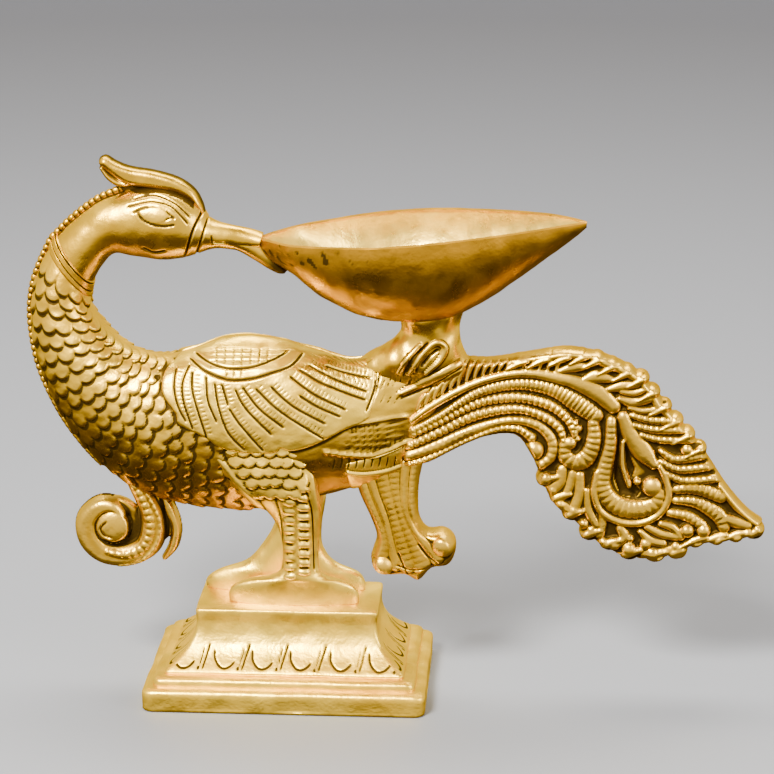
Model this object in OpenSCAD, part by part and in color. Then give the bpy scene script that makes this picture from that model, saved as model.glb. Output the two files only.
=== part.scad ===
// Peacock oil lamp: a cast brass bird stands on a stepped plinth, looks back over its body and
// holds the narrow end of a leaf-shaped oil bowl in its beak. A short stem on its rump carries
// the bowl. Every casting is brazed to the next on a round tenon, and two screws hold the legs.
// The origin is the centre of the plinth's underside, +X points to the tail and +Z up.

/* [Plinth] */
// Width of the plinth's lowest slab, along the bird
plinth_w = 78; // [78:1:84]
// How much narrower the plinth is from front to back
plinth_narrower = 25; // [21:1:25]
// Height of the plinth's deck above the table
deck_h = 25.4; // [24.4:0.1:26.4]
// Wall of the hollow plinth casting
plinth_wall = 3; // [2:0.5:3]

/* [Bird] */
// Half of the torso's thickness, across the bird
torso_half = 13; // [11.5:0.5:14.5]
// Distance from the middle plane to the middle of a leg
leg_y = 6; // [5:0.25:6]
// Thickness of the raised wing plates
wing_t = 2.2; // [1.4:0.2:3]
// Diameter of a bead in the row along the nape
bead_d = 1.9; // [1.5:0.1:2.2]

/* [Tail] */
// Thickness of the tail plume at its raised ribs
tail_t = 9; // [7:0.5:11]
// Thickness of the tail plume between its ribs
tail_web_t = 5.6; // [4:0.2:6.4]

/* [Oil bowl] */
// Half of the bowl's width at its widest
bowl_half_w = 24.6; // [22:0.2:27]
// Wall of the bowl
bowl_wall = 2.4; // [1.6:0.1:3]
// Radius of the stem at its waist
stem_waist_r = 7.6; // [6.5:0.1:8.5]

/* [Joints] */
// Radius of the tenons that join neck, tail and stem
tenon_r = 3; // [2:0.1:3.4]
// Gap around a tenon for the brazing metal
braze_gap = 0.05; // [0.02:0.01:0.1]
// Radius of the screws that hold the legs down
screw_r = 2; // [1.5:0.1:2.2]

/* [Hidden] */
$fn = 48;

brass = "#c9973f";
pale_brass = "#dcb56a";
dark_brass = "#a8752c";
steel = "#8c8f93";

ring_n = 24;      // points around a ring of the bird's skin
ring_step = 3;    // rings between two design rows
flat = 0.01;      // overlap that makes two solids of one casting meet
near = -1;        // the bird's left side, at -Y
far = 1;          // the bird's right side, at +Y

// ---- Curves and lofts ----

// The point at t, from 0 to 1, on a smooth curve from b to c, where a and d are their neighbours.
function between(a, b, c, d, t) =
    0.5 * (2 * b + (c - a) * t + (2 * a - 5 * b + 4 * c - d) * t * t
        + (3 * b - a - 3 * c + d) * t * t * t);

// A smooth curve through a list of design rows, with a number of steps between two rows.
function smooth(rows, steps) = [
    for (i = [0 : len(rows) - 2], k = [0 : steps - 1])
        between(rows[max(i - 1, 0)], rows[i], rows[i + 1], rows[min(i + 2, len(rows) - 1)], k / steps),
    rows[len(rows) - 1]
];

// A solid through rings of equally many points, closed by a flat face at each end. The rings run
// clockwise when seen from the first one towards the last, or the other way if turned is true.
// A crescent's ring goes out along one edge and back along the other, step for step.
module loft(rings, turned = false, crescent = false) {
    n = len(rings[0]);
    last = (len(rings) - 1) * n;
    face = crescent
        ? [for (j = [0 : n / 2 - 2]) [j, j + 1, n - 2 - j, n - 1 - j]]
        : [[for (j = [0 : n - 1]) j]];
    faces = [
        each face,
        for (f = face) [for (j = [len(f) - 1 : -1 : 0]) last + f[j]],
        for (i = [0 : len(rings) - 2], j = [0 : n - 1]) let (a = i * n, k = (j + 1) % n)
            each [[a + j, a + n + j, a + n + k], [a + j, a + n + k, a + k]]
    ];
    polyhedron(
        points = [for (ring = rings) each ring],
        faces = turned ? [for (f = faces) [for (j = [len(f) - 1 : -1 : 0]) f[j]]] : faces
    );
}

// An outline in the bird's own plane, X to the right and Z up, made a plate of thickness t.
module plate(t) {
    rotate([90, 0, 0]) linear_extrude(t, center = true) children();
}

// A round bar in the bird's plane from point p towards an angle from +X, of length l.
module bar(p, angle, l, r) {
    translate([p.x, 0, p.y]) rotate([0, 90 - angle, 0]) cylinder(r = r, h = l);
}

// A band along a smooth curve of rows [x, z, half width].
module band(rows, steps = 5) {
    line = smooth(rows, steps);
    n = len(line);
    side = [for (i = [0 : n - 1])
        let (d = line[min(i + 1, n - 1)] - line[max(i - 1, 0)], l = norm([d.x, d.y]))
            [-d.y, d.x] / l * line[i].z];
    polygon([
        for (i = [0 : n - 1]) [line[i].x, line[i].y] + side[i],
        for (i = [n - 1 : -1 : 0]) [line[i].x, line[i].y] - side[i]
    ]);
}

// ---- The bird's skin, from the beak over the neck and along the body to the tail joint ----

// Each row: the outer edge x, z (crown, nape, breast, belly), the inner edge x, z (jaw, throat,
// back), and half of the thickness.
head_rows = [
    [-7, 129.6, -7, 125.6, 2.3],
    [-12, 130.5, -12, 125.5, 2.7],
    [-17, 131.2, -16.5, 125, 3.4],
    [-20.5, 132.8, -19.8, 124.2, 4.8],
    [-22.6, 135.6, -24, 123.1, 6.4],
    [-26.5, 139.2, -28.5, 121.9, 8],
    [-33, 141, -34.5, 121.3, 8.7],
    [-41.5, 140.2, -41.5, 122.1, 8.3],
    [-50, 137.3, -46.5, 122.8, 7.7],
    [-57, 132.6, -50.3, 119.4, 7.7],
    [-62.2, 127.6, -52.8, 114.8, 7.9]
];
body_rows = [
    [-64.3, 124.9, -53.6, 111, 8.1],
    [-68.6, 115, -53.3, 107.6, 8.8],
    [-70, 105, -50.5, 103.2, 9.6],
    [-68.6, 93, -46.5, 99.2, 10.5],
    [-65, 82.5, -42, 96.2, 11.4],
    [-59.6, 72.8, -37.5, 94.8, torso_half - 1],
    [-51.5, 63.2, -32, 94.6, torso_half - 0.4],
    [-41, 55.8, -26, 96.4, torso_half],
    [-28, 52.2, -19, 99.2, torso_half],
    [-14, 50.8, -11, 100.5, torso_half],
    [-1, 52, -2, 99.5, torso_half],
    [11, 55.5, 8, 96.4, torso_half - 1],
    [21, 58.5, 17, 94, torso_half - 2.5],
    [28, 61, 27, 96, torso_half - 4],
    [33, 64.5, 47, 95.6, torso_half - 6]
];
head_last = (len(head_rows) - 1) * ring_step;    // the head's ring at the collar
body_first = head_last + ring_step;              // the body's ring at the collar
skin = smooth(concat(head_rows, body_rows), ring_step);
skin_last = len(skin) - 1;

// The point at an angle around ring i, 0 on the inner edge, 90 on the near side, 180 on the
// outer edge, with the skin raised by a thickness.
function skin_point(i, angle, raised = 0) =
    let (
        row = skin[i],
        outer = [row[0], row[1]],
        inner = [row[2], row[3]],
        middle = (outer + inner) / 2,
        reach = norm(inner - outer) / 2,
        along = (inner - outer) / (2 * reach),
        p = middle + along * (reach + raised) * cos(angle)
    )
    [p.x, -(row[4] + raised) * sin(angle), p.y];

function skin_ring(i, raised = 0) =
    [for (j = [0 : ring_n - 1]) skin_point(i, j * 360 / ring_n, raised)];

// The bird's solid from ring a to ring b.
module skin_solid(a, b, raised = 0) {
    loft([for (i = [a : b]) skin_ring(i, raised)]);
}

// A plate that lies on the skin from ring a to ring b and from step j0 to step j1 around it. It
// is thickest in its middle and thins to a rim.
module skin_patch(a, b, j0, j1, thick, rim) {
    function crown(u) = 1 - pow(2 * u - 1, 4);
    function depth(i, j) =
        rim + (thick - rim) * crown((i - a) / (b - a)) * crown((j - j0) / (j1 - j0));
    loft([for (i = [a : b]) [
        for (j = [j0 : j1]) skin_point(i, j * 360 / ring_n),
        for (j = [j1 : -1 : j0]) skin_point(i, j * 360 / ring_n, depth(i, j))
    ]], turned = true, crescent = true);
}

// The middle of a ring, and the angle from +X at which the skin passes through it.
function ring_middle(i) = [skin[i][0] + skin[i][2], skin[i][1] + skin[i][3]] / 2;
function ring_angle(i) = atan2(skin[i][2] - skin[i][0], skin[i][1] - skin[i][3]);

// The neck's tenon, which stands on the body and passes through the collar into the head.
neck_tenon_l = 12;
module neck_tenon(gap = 0) {
    bar(ring_middle(body_first), ring_angle(body_first), neck_tenon_l + gap, tenon_r + gap);
}

// ---- Plinth ----

deck_half_x = 25.1 + (plinth_w - 78) / 2;
slab_r = 3;      // corner radii seen from above: the slab, the step on it and the flare
step_r = 2.4;
flare_r = 1.3;
// The plinth's side, from the table to the deck: [height, half width along X, corner radius].
plinth_side = [
    [0, plinth_w / 2 - 0.8, slab_r],
    [0.5, plinth_w / 2 - 0.2, slab_r],
    [4.8, plinth_w / 2, slab_r],
    [5.8, plinth_w / 2 - 0.3, slab_r],
    [6.4, plinth_w / 2 - 1.2, slab_r],
    [6.5, deck_half_x + 11.1, step_r],
    [8.3, deck_half_x + 10.8, step_r],
    [8.9, deck_half_x + 9.9, step_r],
    [9, deck_half_x + 7.8, flare_r],
    [9.8, deck_half_x + 7.8, flare_r],
    [11.6, deck_half_x + 5.7, flare_r],
    [13.4, deck_half_x + 3.6, flare_r],
    [15.4, deck_half_x + 1.9, flare_r],
    [17.2, deck_half_x + 1, flare_r],
    [19, deck_half_x + 0.4, flare_r],
    [21.6, deck_half_x + 0.1, flare_r],
    [deck_h - 0.3, deck_half_x + 0.2, flare_r],
    [deck_h, deck_half_x - 0.2, flare_r]
];
corner_steps = 3;

// A rectangle with round corners at height z, inset by a wall.
function plinth_ring(z, half_x, r, inset = 0) =
    let (x = half_x - inset - r, y = half_x - plinth_narrower / 2 - inset - r)
    [for (quarter = [0 : 3], k = [0 : corner_steps])
        let (angle = 90 * (quarter + k / corner_steps))
            [(quarter == 0 || quarter == 3 ? x : -x) + r * cos(angle),
             (quarter < 2 ? y : -y) + r * sin(angle), z]];

hollow_top = deck_h - plinth_wall;
module plinth_casting() {
    inner = [for (p = plinth_side) if (p[0] < hollow_top - 0.5) p];
    loft([
        plinth_ring(hollow_top, deck_half_x, flare_r, plinth_wall),
        for (i = [len(inner) - 1 : -1 : 0]) plinth_ring(inner[i][0], inner[i][1], inner[i][2], plinth_wall),
        for (p = plinth_side) plinth_ring(p[0], p[1], p[2])
    ]);
}

leg_x = 3.4;    // the shanks' middle, along the bird

module plinth() {
    color(pale_brass) difference() {
        plinth_casting();
        for (side = [-1, 1])
            translate([leg_x, side * leg_y, hollow_top - 1]) cylinder(r = screw_r + 0.2, h = plinth_wall + 2);
    }
}

// ---- Leg fastening ----

washer_t = 0.8;
washer_r = screw_r + 1.3;
screw_head_h = 2.4;
screw_head_r = screw_r + 1.2;
screw_reach = 9;    // how far a screw goes up into its leg

module leg_screw() {
    head_top = hollow_top - washer_t;
    difference() {
        union() {
            translate([0, 0, head_top - screw_head_h]) cylinder(r = screw_head_r, h = screw_head_h);
            translate([0, 0, head_top - flat]) cylinder(r = screw_r, h = washer_t + plinth_wall + screw_reach);
        }
        translate([-screw_head_r - 1, -0.5, head_top - screw_head_h - 1])
            cube([2 * screw_head_r + 2, 1, 2]);
    }
}

module leg_screws() {
    color(steel) for (side = [-1, 1]) translate([leg_x, side * leg_y, 0]) leg_screw();
}

module leg_washers() {
    color(steel) for (side = [-1, 1]) translate([leg_x, side * leg_y, hollow_top - washer_t])
        difference() {
            cylinder(r = washer_r, h = washer_t);
            translate([0, 0, -1]) cylinder(r = screw_r + 0.15, h = washer_t + 2);
        }
}

// ---- Legs ----

// Each row of a leg: [height, middle x, half length x, half thickness y, middle y beyond leg_y].
thigh_rows = [
    [57, -2.6, 11.6, 4.4, 2.6],
    [62.6, -6.4, 14, 4.6, 3.4],
    [65.4, -7.8, 14.2, 4, 2.8],
    [68, -9, 13.6, 3, 2],
    [70.6, -9.6, 10, 2, 1]
];
near_leg_rows = [
    [deck_h, 1.5, 18, 4.4, 0],
    [deck_h + 3.4, 1.5, 17.4, 4.2, 0],
    [deck_h + 5.6, 1.7, 13.6, 3.8, 0],
    [deck_h + 6.6, 3, 6.6, 3.6, 0],
    [35, 3.4, 5.2, 3.5, 0],
    [45, 3.4, 5.3, 3.5, 0.2],
    [51, 2, 7.6, 4, 1]
];
far_leg_rows = [
    [deck_h, -1.8, 22.4, 4.4, 0],
    [deck_h + 3.4, -1.8, 21.8, 4.2, 0],
    [deck_h + 5.6, -0.4, 17.4, 3.8, 0],
    [33, -0.4, 11.6, 3.6, 0],
    [38, 0, 8.6, 3.5, 0],
    [45, 1.4, 6.8, 3.5, 0.2],
    [51, 1.4, 7.8, 4, 1]
];
leg_ring_n = 16;

module leg_solid(rows, side) {
    loft([for (row = smooth(concat(rows, thigh_rows), 2)) [for (j = [0 : leg_ring_n - 1])
        let (angle = 360 * j / leg_ring_n)
            [row[1] + row[2] * cos(angle), side * (leg_y + row[4] + row[3] * sin(angle)), row[0]]]],
        turned = side < 0);
}

module leg(rows, side) {
    difference() {
        leg_solid(rows, side);
        skin_solid(body_first, skin_last);
        wing(side);
        translate([leg_x, side * leg_y, deck_h - 1]) cylinder(r = screw_r, h = screw_reach + 1.5);
    }
}

module near_leg() {
    color(brass) leg(near_leg_rows, near);
}

module far_leg() {
    color(brass) leg(far_leg_rows, far);
}

// ---- Body and head ----

module body() {
    color(brass) difference() {
        union() {
            skin_solid(body_first, skin_last);
            neck_tenon();
        }
        tail_tenon(braze_gap);
        stem_foot_tenon(braze_gap);
        scroll_tenon(braze_gap);
        plume_tenon(braze_gap);
    }
}

module neck_collar() {
    color(dark_brass) difference() {
        skin_solid(head_last, body_first, 0.5);
        neck_tenon(braze_gap);
        nape_strip();
    }
}

// The lower half of the beak runs on under the bowl's narrow end.
jaw_rows = [
    [-17.5, 127.6, -18.5, 124.4, 2.6],
    [-12, 127.8, -13.5, 123, 2.6],
    [-7.4, 127, -8.8, 120.4, 2.5],
    [-4, 120.9, -5.6, 118, 2.2],
    [-1.6, 118.9, -3.2, 117.2, 1.2]
];
jaw_ring_n = 12;

module jaw() {
    loft([for (row = smooth(jaw_rows, 2)) [for (j = [0 : jaw_ring_n - 1])
        let (
            angle = 360 * j / jaw_ring_n,
            middle = [row[0] + row[2], row[1] + row[3]] / 2,
            reach = [row[2] - row[0], row[3] - row[1]] / 2
        )
        [middle.x + reach.x * cos(angle), -row[4] * sin(angle), middle.y + reach.y * cos(angle)]]],
        turned = true);
}

module head() {
    color(brass) difference() {
        union() {
            skin_solid(0, head_last);
            jaw();
        }
        neck_tenon(braze_gap);
        crest_peg(braze_gap);
    }
}

// ---- Crest, beading and scroll ----

crest_t = 6;
crest_rows = [
    [-48.6, 147.9, 1.8],
    [-46.2, 146.2, 2],
    [-42, 144.1, 2.6],
    [-36, 143.2, 2.6],
    [-30, 141.9, 2.2],
    [-26, 139.9, 1.8],
    [-23.6, 137.4, 1.3]
];
crest_lip_rows = [[-49.6, 146.2, 0.7], [-47.6, 143.6, 0.9], [-44.6, 142, 1], [-41, 142.4, 0.6]];

module crest_peg(gap = 0) {
    bar([-36, 143.5], -90, 6 + gap, 1.2 + gap);
}

module crest() {
    color(brass) difference() {
        union() {
            plate(crest_t) {
                band(crest_rows);
                translate([-48.6, 147.9]) circle(1.9);
                band(crest_lip_rows);
            }
            crest_peg();
        }
        skin_solid_near_crest();
    }
}

// The part of the head that the crest lies on.
module skin_solid_near_crest() {
    difference() {
        skin_solid(4 * ring_step, head_last);
        crest_peg();
    }
}

// The row of beads starts under the crest and ends on the breast.
bead_first = 7 * ring_step;
bead_last = body_first + 6 * ring_step;
bead_pitch = 1.12;    // distance between two beads, in bead diameters
nape = [for (i = [bead_first : bead_last]) skin_point(i, 180, bead_d / 2)];

function path_length(points, i) = i == 0 ? 0 : path_length(points, i - 1) + norm(points[i] - points[i - 1]);
function path_point(points, s, i = 1) =
    let (l = norm(points[i] - points[i - 1]))
    s <= l || i == len(points) - 1
        ? points[i - 1] + (points[i] - points[i - 1]) * min(s / l, 1)
        : path_point(points, s - l, i + 1);

module nape_strip() {
    skin_patch(bead_first, bead_last, ring_n / 2 - 1, ring_n / 2 + 1, 0.6, 0.6);
}

module nape_beading() {
    nape_l = path_length(nape, len(nape) - 1);
    beads = floor(nape_l / (bead_pitch * bead_d));
    color(pale_brass) union() {
        nape_strip();
        for (k = [2 : beads - 1]) translate(path_point(nape, k * nape_l / beads))
            sphere(d = bead_d, $fn = 8);
    }
}

scroll_c = [-49, 45.4];    // the middle of the volute
scroll_t = 8;

module scroll_tenon(gap = 0) {
    bar([-40, 50], 90, 12 + gap, 1.6 + gap);
}

// An arc of a band about a point, from angle a to angle b.
module arc_band(c, r, half_w, a, b, steps = 14) {
    polygon([
        for (k = [0 : steps]) c + (r + half_w) * [cos(a + (b - a) * k / steps), sin(a + (b - a) * k / steps)],
        for (k = [steps : -1 : 0]) c + (r - half_w) * [cos(a + (b - a) * k / steps), sin(a + (b - a) * k / steps)]
    ]);
}

module breast_scroll() {
    color(brass) difference() {
        union() {
            plate(scroll_t) {
                translate(scroll_c) circle(4.6);
                translate(scroll_c) difference() {
                    circle(10.8);
                    circle(5.8);
                }
                band([[-47, 66, 3], [-41, 58, 3.4], [-37.6, 50, 2.6], [-38.4, 43.5, 2.4], [-41.6, 39, 2.2]]);
            }
            scroll_tenon();
            plate(scroll_t - 2) {
                translate(scroll_c) circle(8);
                band([[-40, 60, 2.6], [-34.4, 53, 2.6], [-31.6, 46, 1.8], [-32.4, 40, 1.7], [-35.2, 35.6, 1]]);
            }
            plate(scroll_t - 4) polygon([[-46, 60], [-30.5, 54], [-31.5, 41], [-44, 41]]);
        }
        difference() {
            skin_solid(body_first + 4 * ring_step, body_first + 9 * ring_step);
            scroll_tenon();
        }
    }
}

// ---- Wings and rump band ----

wing_first = body_first + 7 * ring_step - 1;
wing_last = body_first + 12 * ring_step + 1;
wing_step_top = 1;
wing_step_low = 7;

module wing(side) {
    steps = side == near ? [wing_step_top, wing_step_low] : [ring_n - wing_step_low, ring_n - wing_step_top];
    skin_patch(wing_first, wing_last, steps[0], steps[1], wing_t, wing_t / 2);
}

module near_wing() {
    color(brass) wing(near);
}

module far_wing() {
    color(brass) wing(far);
}

band_first = body_first + 12 * ring_step + 2;
band_last = skin_last - 1;

module rump_band() {
    color(dark_brass) difference() {
        skin_patch(band_first, band_last, ring_n / 4, ring_n * 3 / 4, 1.1, 0.8);
        plume_tenon(braze_gap);
    }
}

// ---- Tail ----

tail_joint = [ring_middle(skin_last), ring_angle(skin_last)];
module tail_tenon(gap = 0) {
    bar(tail_joint[0], tail_joint[1] + 180, 9 + gap, tenon_r + gap);
}

tail_top = [[47, 95.6], [55, 95.2], [66, 97], [77, 98.6], [88, 96], [96, 91.5], [104, 82], [113, 71],
    [120, 60.5], [126, 53.5], [130.5, 50.5]];
tail_low = [[129.5, 46.5], [122, 44.5], [112, 43], [104, 39.5], [94, 39], [86, 42.5], [80, 48],
    [73, 54], [69.5, 61], [66.5, 68], [62, 73.5], [54, 72.8], [46, 69.4], [39, 65.6], [33, 64.5]];

// A row of round lobes along the edge from one point to another.
module lobes(from, to, count, r) {
    for (k = [0 : count - 1]) translate(from + (to - from) * k / (count - 1)) circle(r);
}

module tail_outline() {
    polygon(concat(smooth(tail_top, 4), smooth(tail_low, 4)));
    lobes([84, 95.4], [96, 90.2], 4, 2.4);
    lobes([99, 86.4], [112, 70.6], 5, 2.6);
    lobes([70.8, 61.6], [78, 52], 3, 2.9);
    lobes([83, 46.4], [94, 41], 3, 3);
    lobes([101, 40.6], [107, 41.6], 2, 3.1);
    lobes([112, 45], [128, 47.6], 4, 2.9);
}

module tail_ribs() {
    band([[40, 82.4, 1.3], [52, 88.8, 1.4], [65, 91, 1.5], [78, 88.8, 2.4], [89, 82.4, 2]]);
    band([[38.6, 79, 1.1], [52, 86.2, 1.2], [65, 88, 1.4], [76, 85.2, 2.2], [83.6, 79.6, 2]]);
    band([[37.4, 75.4, 1.1], [52, 82.6, 1.2], [65, 84.6, 1.3], [74.6, 81.6, 1.4], [77.6, 75, 1.2]]);
    band([[36.4, 71.6, 1.1], [52, 78.4, 1.2], [64, 81, 1.3], [72, 77.6, 1.4], [75, 72, 1.2]]);
    band([[35.6, 67.4, 1.2], [50, 74.2, 1.5], [62, 77, 1.5], [70.4, 74, 1.8], [70.8, 68.2, 2]]);
    translate([67.6, 69.6]) circle(2.6);
    arc_band([79.6, 71.4], 3.6, 1.6, -200, 60);
    band([[87.4, 79.4, 1.8], [87, 70, 1.8], [86.4, 60, 2.4]]);
    arc_band([95.2, 59.6], 8.2, 2.3, 170, 380);
    translate([99.4, 60.4]) circle(2.9);
    band([[92, 79.6, 1.6], [95, 73, 2.4], [100, 66.6, 1.6]]);
    for (k = [0 : 2]) {
        band([[94 + k, 79 - 2.6 * k, 0.9], [100 + k, 78 - 2.6 * k, 1], [106 + k, 79.4 - 2.6 * k, 0.9]]);
        band([[101 + k, 69.6 - 2.8 * k, 0.9], [108 + k, 66.8 - 2.8 * k, 1], [114 + k, 67 - 2.8 * k, 0.9]]);
    }
    band([[105.6, 59.4, 1], [113, 59.6, 1.2], [119, 57, 1.2]]);
    band([[105.6, 56, 1], [113, 55, 1.3], [119.4, 48.6, 1.4]]);
    band([[104, 52.6, 1], [109, 51.6, 1.2], [113.6, 48, 1.2]]);
}

// The side of the tail joint that belongs to the rump.
module rump_side() {
    polygon([[33, 64.5], [47, 95.6], [51.5, 105.6], [20, 105.6], [20, 35.6]]);
}

module tail() {
    color(brass) union() {
        plate(tail_web_t) difference() {
            tail_outline();
            rump_side();
        }
        plate(tail_t) difference() {
            tail_ribs();
            rump_side();
        }
        tail_tenon();
    }
}

// ---- Plume under the tail ----

plume_t = 10;
module plume_tenon(gap = 0) {
    bar([27.5, 56], 90, 10 + gap, 1.8 + gap);
}

module undertail_plume() {
    color(brass) difference() {
        union() {
            plate(plume_t) band([[25, 64, 6.6], [26.8, 57, 8.4], [28.6, 50, 7.2], [31.2, 44, 7.4], [34, 38, 8.2]]);
            plate(plume_t - 3) polygon([[28, 40], [42, 42], [39.6, 33.5], [35.6, 31], [28, 33]]);
            for (p = [[26.8, 36.8], [42.6, 42.6]]) translate([p.x, 0, p.y]) rotate([90, 0, 0])
                cylinder(r = 3.5, h = plume_t + 1, center = true);
            plume_tenon();
        }
        difference() {
            skin_solid(body_first + 9 * ring_step, skin_last, 1.2);
            plume_tenon();
        }
    }
}

// ---- Stem and oil bowl ----

stem_x = 38.8;
stem_top = 104.6;
stem_low = 93;
stem_side = [[11.5, stem_low], [9.4, 97], [stem_waist_r + 0.3, 99.6], [stem_waist_r, 102.2], [9.2, stem_top]];

module stem_foot_tenon(gap = 0) {
    translate([stem_x - 4, 0, 84 - gap]) cylinder(r = tenon_r + gap, h = 14);
}

module stem_head_tenon(gap = 0) {
    translate([stem_x, 0, stem_top - 1]) cylinder(r = tenon_r + gap, h = 3.4 + gap);
}

module bowl_stem() {
    color(brass) difference() {
        union() {
            translate([stem_x, 0, 0]) rotate_extrude()
                polygon(concat([[0, stem_low]], smooth(stem_side, 4), [[0, stem_top]]));
            stem_foot_tenon();
            stem_head_tenon();
        }
        difference() {
            union() {
                skin_solid(body_first + 11 * ring_step, skin_last);
                plate(2 * plume_t) polygon([[47, 95.6], [60, 95.6], [60, 80], [40, 80]]);
            }
            stem_foot_tenon();
        }
    }
}

// Each row of the bowl: [x, half width at the rim as a share, height of the rim, height of the keel].
bowl_rows = [
    [-7, 0.16, 127.6, 123],
    [-4, 0.32, 127.8, 121.6],
    [2, 0.56, 128.2, 118],
    [10, 0.75, 128.8, 111.8],
    [20, 0.93, 129.7, 107.2],
    [31, 1, 130.6, 105.4],
    [42, 0.94, 131.4, 106],
    [52, 0.8, 132, 110.4],
    [62, 0.61, 132.6, 117.2],
    [71, 0.4, 133, 123.8],
    [77, 0.2, 133, 128.4],
    [80.6, 0.05, 132.8, 131.4]
];
bowl_arc = 14;    // steps across the bowl, from rim to rim
bowl_fullness = 0.85;

function bowl_arch(x, half_w, rim, keel) = [for (k = [0 : bowl_arc])
    let (angle = 180 * k / bowl_arc)
        [x, -half_w * cos(angle), rim - (rim - keel) * pow(sin(angle), bowl_fullness)]];

function bowl_ring(row) =
    let (
        half_w = row[1] * bowl_half_w,
        inner_w = max(half_w - bowl_wall, half_w * 0.3),
        inner_keel = min(row[3] + bowl_wall + 0.4, row[2] - 0.1),
        outer = bowl_arch(row[0], half_w, row[2], row[3]),
        inner = bowl_arch(row[0], inner_w, row[2], inner_keel)
    )
    [each outer, for (k = [bowl_arc : -1 : 0]) inner[k]];

module oil_bowl() {
    color(brass) difference() {
        union() {
            loft([for (row = smooth(bowl_rows, 3)) bowl_ring(row)], crescent = true);
            translate([stem_x, 0, stem_top]) cylinder(r = 9.2, h = 3);
        }
        stem_head_tenon(braze_gap);
    }
}

plinth();
leg_screws();
leg_washers();
near_leg();
far_leg();
body();
neck_collar();
head();
crest();
nape_beading();
breast_scroll();
near_wing();
far_wing();
rump_band();
tail();
undertail_plume();
bowl_stem();
oil_bowl();
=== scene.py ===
import bpy
import numpy as np
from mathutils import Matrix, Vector


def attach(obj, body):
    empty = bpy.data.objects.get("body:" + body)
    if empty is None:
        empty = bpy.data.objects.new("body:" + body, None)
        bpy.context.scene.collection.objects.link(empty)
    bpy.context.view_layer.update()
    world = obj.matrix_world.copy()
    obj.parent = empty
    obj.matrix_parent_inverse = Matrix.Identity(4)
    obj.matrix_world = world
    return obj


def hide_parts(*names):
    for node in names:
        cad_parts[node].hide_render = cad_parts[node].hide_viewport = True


# A cast brass peacock lamp. Every casting is sculpted as a fine grid with its chased pattern as
# real relief, over the same design rows as the CAD part. Lengths are in millimetres until a mesh
# is made.

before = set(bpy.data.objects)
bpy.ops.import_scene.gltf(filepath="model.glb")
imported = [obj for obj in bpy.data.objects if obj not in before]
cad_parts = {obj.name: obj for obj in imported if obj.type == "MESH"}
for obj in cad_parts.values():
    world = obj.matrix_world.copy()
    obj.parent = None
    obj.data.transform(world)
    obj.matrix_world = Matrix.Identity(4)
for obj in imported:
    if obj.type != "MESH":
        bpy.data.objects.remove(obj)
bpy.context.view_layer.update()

MM = 0.001
DEG = np.pi / 180
NEAR = -1    # the bird's left side, towards the camera
FAR = 1
rng = np.random.default_rng(7)

# ---- Curves ----


def smooth(rows, steps):
    """A smooth curve through design rows, with a number of steps between two rows."""
    rows = np.asarray(rows, float)
    last = len(rows) - 1
    t = (np.arange(steps) / steps)[:, None]
    spans = []
    for i in range(last):
        a, b, c, d = (rows[min(max(k, 0), last)] for k in (i - 1, i, i + 1, i + 2))
        spans.append(0.5 * (2 * b + (c - a) * t + (2 * a - 5 * b + 4 * c - d) * t**2
                            + (3 * b - a - 3 * c + d) * t**3))
    return np.vstack(spans + [rows[-1:]])


def inside_distance(x, z, outline):
    """How far each point lies inside a closed outline, below 0 outside it."""
    outline = np.asarray(outline, float)
    best = np.full(x.shape, np.inf)
    inside = np.zeros(x.shape, bool)
    for a, b in zip(outline, np.roll(outline, -1, 0)):
        d = b - a
        t = np.clip(((x - a[0]) * d[0] + (z - a[1]) * d[1]) / max(d @ d, 1e-9), 0, 1)
        best = np.minimum(best, np.hypot(x - a[0] - t * d[0], z - a[1] - t * d[1]))
        if d[1]:
            inside ^= ((a[1] > z) != (b[1] > z)) & (x < a[0] + d[0] * (z - a[1]) / d[1])
    return np.where(inside, best, -best)


def rounded(edge, radius):
    """A share from 0 at an edge to 1 further in than a radius, like a rounded rim."""
    t = np.clip(edge / radius, 0, 1)
    return np.sqrt(t * (2 - t))


def ripple(points, size, seed):
    """Smooth unevenness from about -1 to 1, with bumps of about the given size."""
    x, y, z = np.moveaxis(points, -1, 0)
    waves = np.random.default_rng(seed)
    total = 0
    for _ in range(9):
        k = waves.normal(size=3)
        k *= 2 * np.pi / (size * waves.uniform(0.7, 1.6) * np.linalg.norm(k))
        total = total + np.sin(k[0] * x + k[1] * y + k[2] * z + waves.uniform(0, 2 * np.pi))
    return total / 3


def uneven(grid, seed):
    """The slight unevenness of a casting that is filed and rubbed by hand."""
    return 0.12 * ripple(grid, 9, seed) + 0.05 * ripple(grid, 3.4, seed + 50)


# The patterns on the bird's sides are drawn flat, as they look from this place at the near side.
VIEW = np.array([70.3, -707.8, 286.9])


def on_drawing(grid):
    """Where points of either side lie on the drawing."""
    nearer = VIEW[1] / (VIEW[1] + np.abs(grid[..., 1]))
    x, z = (VIEW[k] + (grid[..., k] - VIEW[k]) * nearer for k in (0, 2))
    return x, z


# ---- Relief ----


def box_blur(a, cells, axis, wrap):
    """The mean over a number of cells to both sides, along one axis."""
    a = np.moveaxis(a, axis, 0)
    padded = np.pad(a, [(cells + 1, cells), (0, 0)], mode="wrap" if wrap else "edge")
    total = np.cumsum(padded, 0)
    width = 2 * cells + 1
    return np.moveaxis((total[width:] - total[:-width]) / width, 0, axis)


def blurred(a, cells, wrap=False):
    """A soft blur. With wrap, the grid's columns go right round a solid."""
    for _ in range(2):
        a = box_blur(box_blur(a, cells, 0, False), cells, 1, wrap)
    return a


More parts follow.
